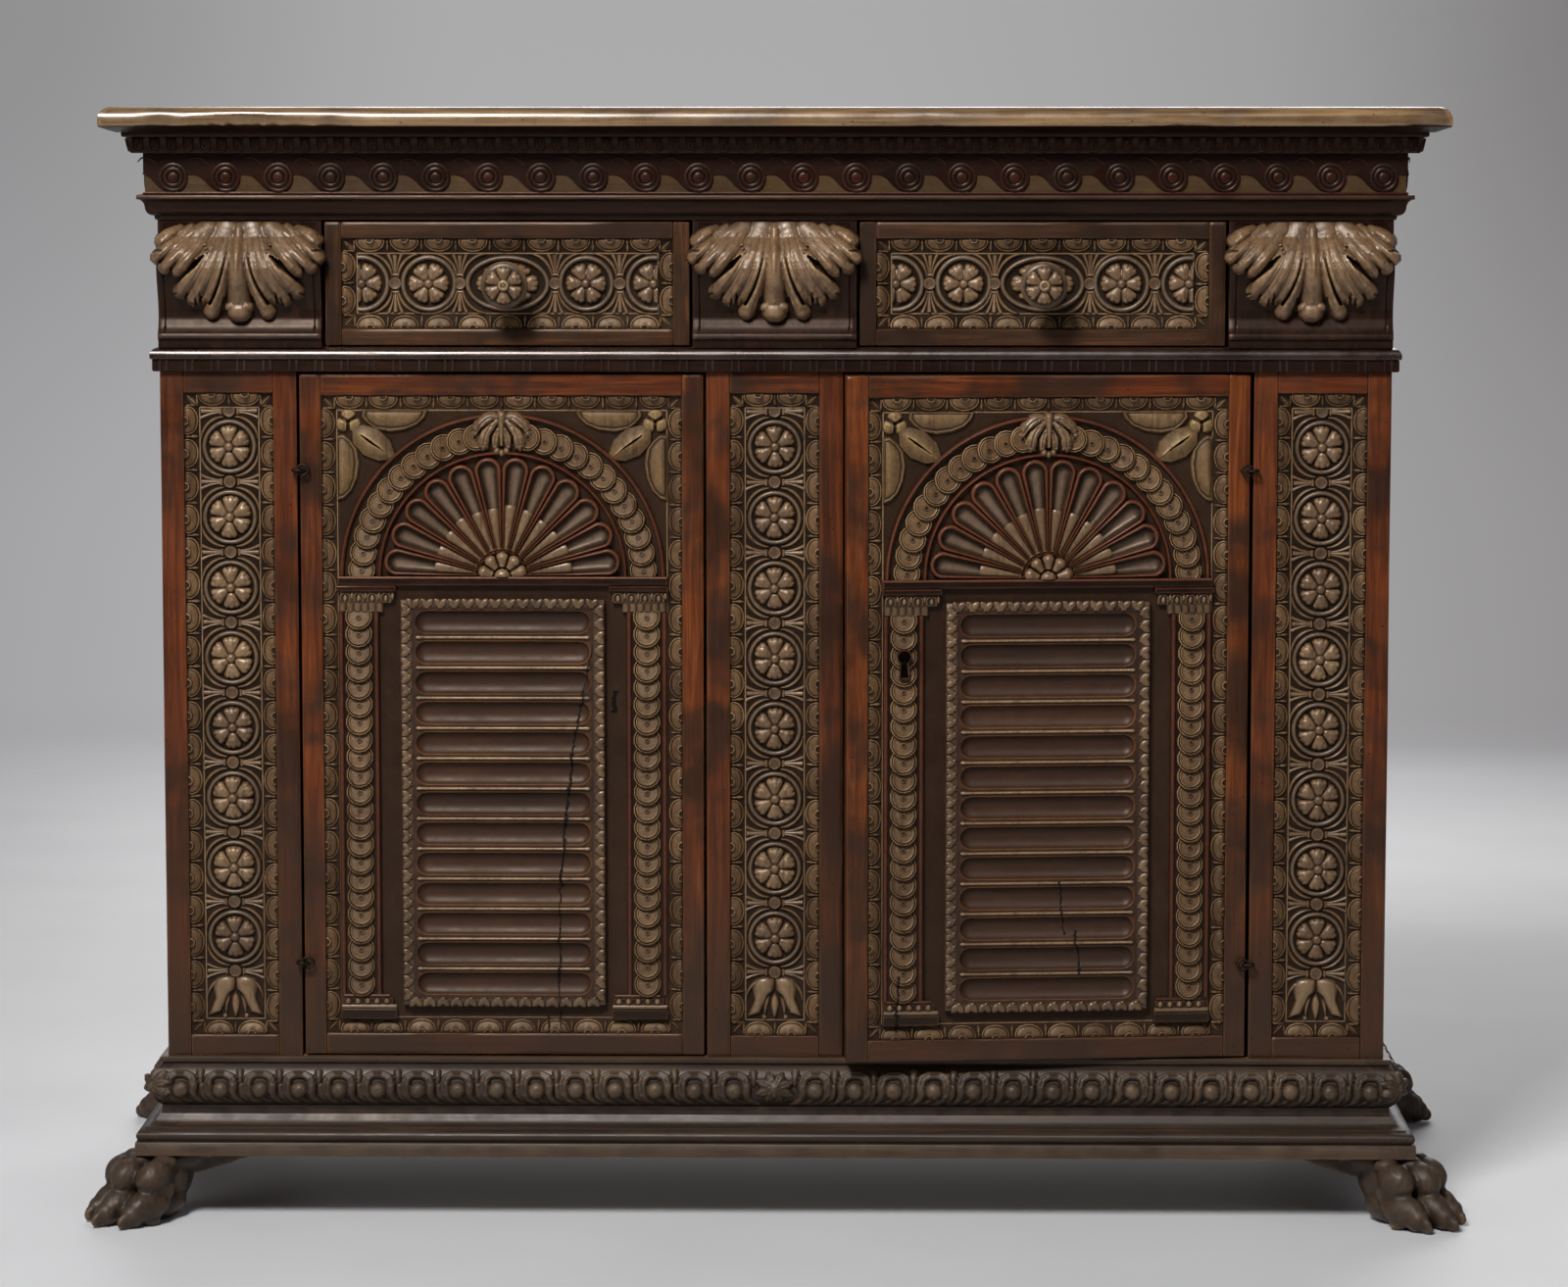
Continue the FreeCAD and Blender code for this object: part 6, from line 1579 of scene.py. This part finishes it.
# the top's underside gets the darker cornice finish as painted shade
topUnderShade = sweepForm([(8, -0.2), (34.2, -0.2), (49.6, 5.3), (8, 6)], corniceWalnutShaded, [0.1, 0.2, 0.3, 0.1],
                     level["top"], 24.0, 0.0, 17)
piece("topBoard", joined(topSwept, topUnderShade, plank), "carcass", (0, 0, 0), ["top_board"])
print("mouldings swept")

# consoles: a bracket with a double curve under an acanthus leaf
console = {"width": 158.0, "apex": 111.0}
consoleCurve = np.array([(0, 5.4), (6.4, 5.4), (7.4, 6.2), (8.4, 9), (13, 9), (16, 6.4), (20, 3.8), (28, 1.2),
                         (36, 1.0), (46, 3.6), (58, 8.6), (68, 12.6), (77, 14.6), (85, 13.8), (93, 10.4),
                         (100, 5.6), (105, 1.6), (107, 0.2), (109, 0), (123, 0)])


def bracketOut(up):
    return np.interp(up, consoleCurve[:, 0], consoleCurve[:, 1])


def bracketForm():
    wide = console["width"]
    near = np.array([0, 0.8, 5.0, 6.0, 6.8, 7.6, 8.6])
    xs = np.concatenate([near, [40, 79, 118], wide - near[::-1]]) - wide / 2
    grooveUps = [110.2, 111.0, 112.0, 118.0, 118.8, 119.6]
    zs = np.unique(np.concatenate([consoleCurve[:, 0], np.linspace(14, 106, 24), grooveUps]))
    edge = wide / 2 - np.abs(xs)
    rows, levels = [], []
    for z in zs:
        out = bracketOut(z) + np.zeros(len(xs))
        line = (np.abs(edge - 6.8) < 0.5) & (14 < z < 119.2)
        if 110.9 < z < 111.1 or 118.7 < z < 118.9:
            line = line | (edge > 6.2)
        out = out - 1.1 * line - 0.5 * (edge < 0.1)
        rows.append(np.column_stack([xs, np.full(len(xs), z), out]))
        levels.append(np.where(line, 0.0, np.where(edge < 1, 0.9, 0.35)) + 0.35 * (np.abs(z - 10.6) < 2.6))
    rows = np.array(rows)
    parts = [sheet(rows, levels, corniceWalnutShaded)]
    edges = ((rows[:, 0], True, True), (rows[:, -1], False, True), (rows[0], True, False),
             (rows[-1], False, False))
    for line, backFirst, upright in edges:
        far = line.copy()
        far[:, 2] = -boardThick
        lines = [far, line] if backFirst else [line, far]
        parts.append(sheet(lines, np.full((2, len(line)), 0.4 if upright else 0.3), corniceWalnutShaded))
        if upright:
            parts[-1]["faces"] = [face[::-1] for face in parts[-1]["faces"]]
    return joined(*parts)


def acanthusForm():
    # a leaf whose strands fall from the top edge: two lobes a side, a curl beside the tongue, and its lip
    strands = [((-6, -2), (-9, -46), (-27, -76), (5.0, 6.5, 8.4)),
               ((-10, 2), (-13, -40), (-29, -61), (6.0, 7.4, 7.6)),
               ((-15, 2), (-24, -38), (-43, -64), (6.0, 8.4, 8.0)),
               ((-21, 2), (-34, -34), (-56, -57), (6.0, 8.6, 8.0)),
               ((-27, 2), (-43, -20), (-58, -37), (6.0, 7.4, 7.0)),
               ((-35, 2), (-53, -16), (-70, -33), (6.4, 9.0, 7.6)),
               ((-46, 2), (-64, -9), (-78, -24), (6.6, 8.4, 6.4)),
               ((-57, 1), (-67, -2), (-75, -8), (6.4, 7.4, 6.6))]
    blades = [((-12, 0), (-24, -34), (-40, -54), (14, 21, 18)), ((-30, 0), (-46, -14), (-62, -23), (12, 18, 15)),
              ((0, 0), (0, -40), (0, -66), (10, 12, 12))]
    t = np.linspace(0, 1, 14)
    bladeHeights = np.interp(t, [0, 0.3, 0.7, 1], [9.0, 15.0, 17.5, 14.5])
    strandHeights = np.interp(t, [0, 0.3, 0.6, 0.85, 1], [7.0, 14.0, 17.5, 16.5, 13.0])
    sides = ((1, 1), (-1, 1))
    strokes, grooves, paths = [], [], []
    for start, bow, tip, sizes in blades:
        path, radii = curved(start, bow, tip, 14), np.interp(t, [0, 0.6, 1], sizes)
        strokes += [stroke(path, radii, bladeHeights, way=way) for way in sides]
    for start, bow, tip, sizes in strands:
        path = curved(start, bow, tip, 14)
        paths.append(path)
        for way in sides:
            strokes.append(stroke(path, np.interp(t, [0, 0.6, 1], sizes), strandHeights, way=way))
            for aside in (-2.4, 2.4):
                shifted = path[3:-1] * np.array(way) + np.array([aside * way[0], aside * -0.5])
                grooves.append(stroke(shifted, 0.7, 0.7))
    for k in range(len(paths) - 1):
        deep = 1.6 if k else 8.0
        depths = np.interp(t[1:], [0, 0.3, 0.75, 1], [0.8, 1.2, deep, deep * 2])
        between, radii = (paths[k] + paths[k + 1]) / 2, np.interp(t[1:], [0, 0.5, 1], [0.9, 1.0, 1.6])
        grooves += [stroke(between[1:], radii, depths, way=way) for way in sides]
    gaps = (([(-32, -22), (-41, -30.5), (-50, -40)], [0.9, 3.0, 1.2], [9.0, 20.0, 10.0]),
            ([(-50, -40), (-58, -45.5), (-70, -47)], [1.2, 1.8, 3.4], [6.0, 10.0, 16.0]))
    notches = (((-63, -33), (-65, -46)), ((-72, -17), (-86, -18)), ((-36, -57), (-38, -74)),
               ((-49, -57), (-54, -72)), ((-41, -63), (-42, -73)), ((-59, -58), (-68, -62)))
    for way in sides:
        grooves += [stroke(*gap, way=way) for gap in gaps]
        grooves += [stroke(notch, [0.9, 2.4], [2.0, 14.0], way=way) for notch in notches]
        grooves.append(stroke([(-14, -62), (-16, -74), (-18, -92)], [1.0, 2.2, 3.2], [5.0, 14.0, 18.0], way=way))
        for x, y in ((-28.6, -18.5), (-30.4, -15.2), (-31.6, -11.8)):
            strokes.append(stroke([(x, y), (x + 0.4, y + 0.4)], 2.0, 17.5, way=way))
        strokes.append(stroke([(-8, -71), (-9, -72)], 5.5, 14.5, way=way))
    strokes.append(stroke([(0, 2), (0, -20), (0, -50), (0, -66)], [6.0, 5.4, 4.6, 5.0], [11.0, 18.0, 17.0, 16.0]))
    strokes.append(stroke([(-2, -76), (2, -76)], 10.5, 17.0))

    def ride(x, y):
        return bracketOut(np.clip(console["apex"] + y, 8, 118)) - 1.0

    leaf = carvedField(strokes, (-88, -92), (88, 10), 1.0, leafGild, ride, grooves)
    return moved(leaf, 0, console["apex"])


for side in ("left", "center", "right"):
    low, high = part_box(f"{side}_console")
    at = ((low.x + high.x) / 2, front * mm, low.z)
    piece(f"{side}ConsoleCarving", joined(bracketForm(), acanthusForm()), "carcass", at, [f"{side}_console"])
print("consoles carved")

# lion's paws
paw = {"height": 66.0, "voxel": 1.9, "pad": 42.0, "lap": 8.0, "padThick": 6.0, "wingFrom": 26.0, "wing": 92.0,
       "drop": 24.0, "wingThick": 40.0, "frontTurn": 45.0, "frontInset": 8.0, "rearTurn": 28.0, "rearInset": 20.0,
       "rearShift": 16.0}


def pawMesh(name, root, turn, pad, wings):
    work = bmesh.new()
    c, s = ray(turn)
    heading = Matrix.Rotation(math.radians(turn), 4, "Z")

    def egg(x, y, z, radii, pitch=0.0):
        at = Matrix.Translation(Vector((root[0] + x * c - y * s, root[1] + x * s + y * c, z)) * mm)
        way = heading @ Matrix.Rotation(math.radians(pitch), 4, "Y")
        stretch = Matrix.Diagonal([r * mm for r in radii] + [1.0])
        bmesh.ops.create_uvsphere(work, u_segments=24, v_segments=14, radius=1.0, matrix=at @ way @ stretch)

    egg(20, 0, 19, (33, 29, 22))
    egg(8, 0, 42, (31, 27, 30), 12)
    egg(-8, 0, 60, (40, 34, 16))
    for y, setback in ((-25, 12), (0, 0), (25, 12)):
        egg(51 - setback, y, 46, (21, 14.6, 16.5), 22)
        egg(60 - setback, y * 1.02, 20, (26, 14.6, 16), 12)
        egg(78 - setback, y * 1.04, 13, (13, 11, 12))
        egg(88 - setback, y * 1.05, 9, (10, 4.6, 7.5), 34)
        egg(36 - setback, y * 0.9, 59, (13, 11, 8), -8)
    for y in (-30, 30):
        egg(30, y, 34, (11, 7, 11))
        egg(46, y * 1.02, 6, (9, 5, 6))
    low, high = pad
    size = Vector(high) - Vector(low)
    matrix = Matrix.Translation((Vector(low) + size / 2) * mm) @ Matrix.Diagonal([v * mm for v in size] + [1.0])
    bmesh.ops.create_cube(work, size=1.0, matrix=matrix)
    for corners, way in wings:
        base = [work.verts.new(Vector(p) * mm) for p in corners]
        tops = [work.verts.new((Vector(p) + Vector(way)) * mm) for p in corners]
        work.faces.new(base)
        work.faces.new(tops[::-1])
        for i in range(len(corners)):
            j = (i + 1) % len(corners)
            work.faces.new((base[i], tops[i], tops[j], base[j]))
    bmesh.ops.recalc_face_normals(work, faces=work.faces)
    mesh = bpy.data.meshes.new(name)
    work.to_mesh(mesh)
    work.free()
    holder = placed(name + "Rough", mesh)
    remesh = holder.modifiers.new("remesh", "REMESH")
    remesh.mode = "VOXEL"
    remesh.voxel_size = paw["voxel"] * mm
    smooth = holder.modifiers.new("smooth", "SMOOTH")
    smooth.factor, smooth.iterations = 0.5, 3
    graph = bpy.context.evaluated_depsgraph_get()
    made = bpy.data.meshes.new_from_object(holder.evaluated_get(graph), depsgraph=graph)
    bpy.data.objects.remove(holder)
    bpy.data.meshes.remove(mesh)
    work = bmesh.new()
    work.from_mesh(made)
    for z, way in ((0.0, -1), (paw["height"] * mm, 1)):
        cutAway(work, (0, 0, z), (0, 0, way))
        bmesh.ops.holes_fill(work, edges=[e for e in work.edges if e.is_boundary])
    work.to_mesh(made)
    work.free()
    points, normals = vectorsOf(made), vectorsOf(made, "normal")
    rough = ripple(points / mm, 0.2, 71) * 1.2 + ripple(points / mm, 0.55, 72) * 0.55
    edge = np.minimum(points[:, 2], paw["height"] * mm - points[:, 2]) > 0.002
    made.vertices.foreach_set("co", (points + normals * (rough * mm * edge)[:, None]).ravel())
    stand = hollows(made, 8)
    # hollows painted darker as shade, bumps lighter as rubbed wood and painted highlight
    addLayer(made, "relief", np.clip(0.42 + stand / 0.0012 * 0.3, 0, 1))
    addLayer(made, "tint", np.zeros(len(points)))
    addLayer(made, "grain", points)
    made.materials.clear()
    made.materials.append(pawWood)
    made.shade_smooth()
    return made


for rowName in ("front", "rear"):
    for side, sign in (("left", -1), ("right", 1)):
        edgeX = half * sign
        high = paw["height"]
        if rowName == "front":
            root = (edgeX, front + paw["frontInset"])
            turn = -paw["frontTurn"] if sign > 0 else 180 + paw["frontTurn"]
            edgeY, inward = front, 1
        else:
            root = (edgeX + paw["rearShift"] * sign, back - paw["rearInset"])
            turn = paw["rearTurn"] if sign > 0 else 180 - paw["rearTurn"]
            edgeY, inward = back, -1
        xs = sorted((edgeX + paw["lap"] * sign, edgeX - paw["pad"] * sign))
        ys = sorted((edgeY - (paw["lap"] if rowName == "front" else 0) * inward, edgeY + paw["pad"] * inward))
        pad = ((xs[0], ys[0], high - paw["padThick"]), (xs[1], ys[1], high))
        wingY = edgeY if inward > 0 else edgeY - paw["wingThick"]
        wingX = edgeX if sign < 0 else edgeX - paw["wingThick"]
        start, end, low = paw["wingFrom"], paw["wing"], high - paw["drop"]
        thin = high - 3
        profile = ((start, high), (end, high), (end, thin), (start, low))
        cross = ([(edgeX - run * sign, wingY, z) for run, z in profile], (0, paw["wingThick"], 0))
        along = ([(wingX, edgeY + run * inward, z) for run, z in profile], (paw["wingThick"], 0, 0))
        mesh = pawMesh(f"{rowName}{side}Paw", root, turn, pad, [cross, along])
        piece(f"{rowName}{side.capitalize()}Paw", None, "carcass", (0, 0, 0), [f"{rowName}_{side}_foot"],
              None, mesh)
print("paws carved")

# sides: joined frames with plain panels, as the front's but without carving
sideFrame = {"stile": 60.0, "rail": 60.0, "panelOut": -8.0, "panelThick": 12.0, "chamfer": 13.0}
for side, sign in (("left", -1), ("right", 1)):
    low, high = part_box(f"{side}_side_frame")
    thick, width, height = (high.x - low.x) / mm, (high.y - low.y) / mm, (high.z - low.z) / mm
    stile, rail, chamfer = sideFrame["stile"], sideFrame["rail"], sideFrame["chamfer"]
    topRail = height - (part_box("string_moulding")[0].z - low.z) / mm
    boards = frameForm(width, height, stile, rail, 901, sideWalnut, topRail, 0, thick)
    right, top, out = width - stile, height - topRail, sideFrame["panelOut"]
    flatPanel = board((stile - 0.5, rail - 0.5, out - sideFrame["panelThick"]), (right + 0.5, top + 0.5, out),
                      sideWalnut, 1, 905)
    rings = ((rectangle(stile, rail, right, top), -1.0),
             (rectangle(stile + chamfer, rail + chamfer, right - chamfer, top - chamfer), -7.9))
    sloped = form([(x, y, at) for ring, at in rings for x, y in ring], ringFaces(2, 4), np.repeat([0.8, 0.1], 4),
                  sideWalnut)
    for label, source in (("Frame", boards), ("Panel", joined(flatPanel, sloped))):
        name = f"{side}Side{label}"
        mesh = meshOf(source, name)
        mesh.transform(Matrix.Rotation(math.radians(90 * sign), 4, "Z"))
        at = (low.x, high.y, low.z) if sign < 0 else (high.x, low.y, low.z)
        piece(name, None, "carcass", at, [f"{side}_side_{label.lower()}"], None, mesh)

dress(plainWood, "back_boards", "base_frame", "corner_blocks", "cupboard_floor", "door_stops", "drawer_divider",
      "drawer_guides", "drawer_kickers", "dust_board", "front_rails", "shelf", "shelf_battens", "left_drawer_box",
      "left_drawer_bottom", "right_drawer_box", "right_drawer_bottom")
dress(iron, "left_hinge_eyes", "left_hinge_staples", "right_hinge_eyes", "right_hinge_staples", "lock_case",
      "lock_bolt")

for item in motifs:
    bpy.data.objects.remove(item)


# floor, lights and camera
def floorFinish():
    finish = bpy.data.materials.new("studioFloor")
    finish.use_nodes = True
    tree = finish.node_tree
    shader = tree.nodes["Principled BSDF"]
    place = put(tree, "ShaderNodeTexCoord").outputs["Object"]
    colour = ramp(tree, cloud(tree, place, 3.0, 2.0), fade("#bdbdbf #c3c3c5", 0.3, 0.7))
    tree.links.new(colour, shader.inputs["Base Color"])
    shader.inputs["Roughness"].default_value = 0.55
    shader.inputs["Specular IOR Level"].default_value = 0.25
    reach = put(tree, "ShaderNodeVectorMath", {0: place}, operation="LENGTH").outputs["Value"]
    tree.links.new(spread(tree, reach, 1.6, 4.5, 1.0, 0.0), shader.inputs["Alpha"])
    return finish


floorMesh = bpy.data.meshes.new("floor")
floorMesh.from_pydata([(-6, -6, 0), (6, -6, 0), (6, 6, 0), (-6, 6, 0)], [], [(0, 1, 2, 3)])
floorMesh.materials.append(floorFinish())
floor = placed("floor", floorMesh)

lamps = {"key": {"at": (-1.05, -3.5, 3.75), "to": (0, 0, 0.55), "size": (1.1, 1.1), "power": 290.0},
         "fill": {"at": (-3.4, -2.6, 1.6), "to": (0, 0, 0.6), "size": (1.6, 2.0), "power": 24.0},
         "right": {"at": (3.2, -3.0, 2.4), "to": (0, 0, 0.6), "size": (1.6, 2.0), "power": 14.0},
         "under": {"at": (0.2, 3.4, 0.7), "to": (0, 0, 0.0), "size": (3.0, 0.8), "power": 13.0},
         "behind": {"at": (0.4, 3.6, 2.8), "to": (0, 0, 0.6), "size": (3.0, 2.0), "power": 90.0}}
for name, lamp in lamps.items():
    light = bpy.data.lights.new(name, "AREA")
    light.shape = "RECTANGLE"
    light.size, light.size_y = lamp["size"]
    light.energy = lamp["power"]
    holder = placed(name, light)
    holder.location = lamp["at"]
    holder.rotation_euler = (Vector(lamp["to"]) - Vector(lamp["at"])).to_track_quat("-Z", "Y").to_euler()

world = bpy.data.worlds.new("studio")
world.use_nodes = True
scene.world = world
tree = world.node_tree
tree.nodes.clear()
rays = put(tree, "ShaderNodeLightPath").outputs
seen = calc(tree, "MAXIMUM", rays["Is Camera Ray"],
            calc(tree, "MAXIMUM", rays["Is Glossy Ray"], rays["Is Transmission Ray"]))
way = put(tree, "ShaderNodeSeparateXYZ", {0: put(tree, "ShaderNodeTexCoord").outputs["Generated"]}).outputs
shown = ramp(tree, spread(tree, way[2], -0.16, 0.06), fade("#b4b3b5 #abaaab", 0, 1))
# the backdrop is painted with shade: darker towards both sides and in the upper corners, as a lamp's falloff
shown = blend(tree, spread(tree, way[0], -0.02, 0.24, 0.0, 0.9), shown, tone("#7d7a7b"))
shown = blend(tree, spread(tree, way[0], -0.08, -0.24, 0.0, 0.7), shown, tone("#8c8b8e"))
upper = spread(tree, way[2], -0.09, 0.02)
for side, most in ((-1, 0.2), (1, 0.28)):
    corner = times(tree, upper, spread(tree, way[0], 0.07 * side, 0.16 * side, 0.0, most))
    shown = blend(tree, corner, shown, tone("#000000"))
shown = blend(tree, spread(tree, way[1], 0.5, -0.5), shown, tone("#4c4a4c"))
backdrop = put(tree, "ShaderNodeBackground", {"Color": shown, "Strength": 1.0})
ambient = put(tree, "ShaderNodeBackground", {"Color": (1.0, 0.97, 0.94, 1.0), "Strength": 0.06})
mixed = put(tree, "ShaderNodeMixShader", {0: seen, 1: ambient.outputs[0], 2: backdrop.outputs[0]})
tree.links.new(mixed.outputs[0], tree.nodes.new("ShaderNodeOutputWorld").inputs[0])

view = {"lens": 116.06, "x": 0.0827, "away": 4.8785, "up": 1.0853, "down": 0.1058, "turn": 0.0151}
cameraData = bpy.data.cameras.new("camera")
cameraData.sensor_fit = "HORIZONTAL"
cameraData.sensor_width = 36.0
cameraData.lens = view["lens"]
camera = placed("camera", cameraData)
camera.location = (view["x"], front * mm - view["away"], view["up"])
camera.rotation_euler = (math.pi / 2 - view["down"], 0, view["turn"])
scene.camera = camera
scene.view_settings.view_transform = "Standard"
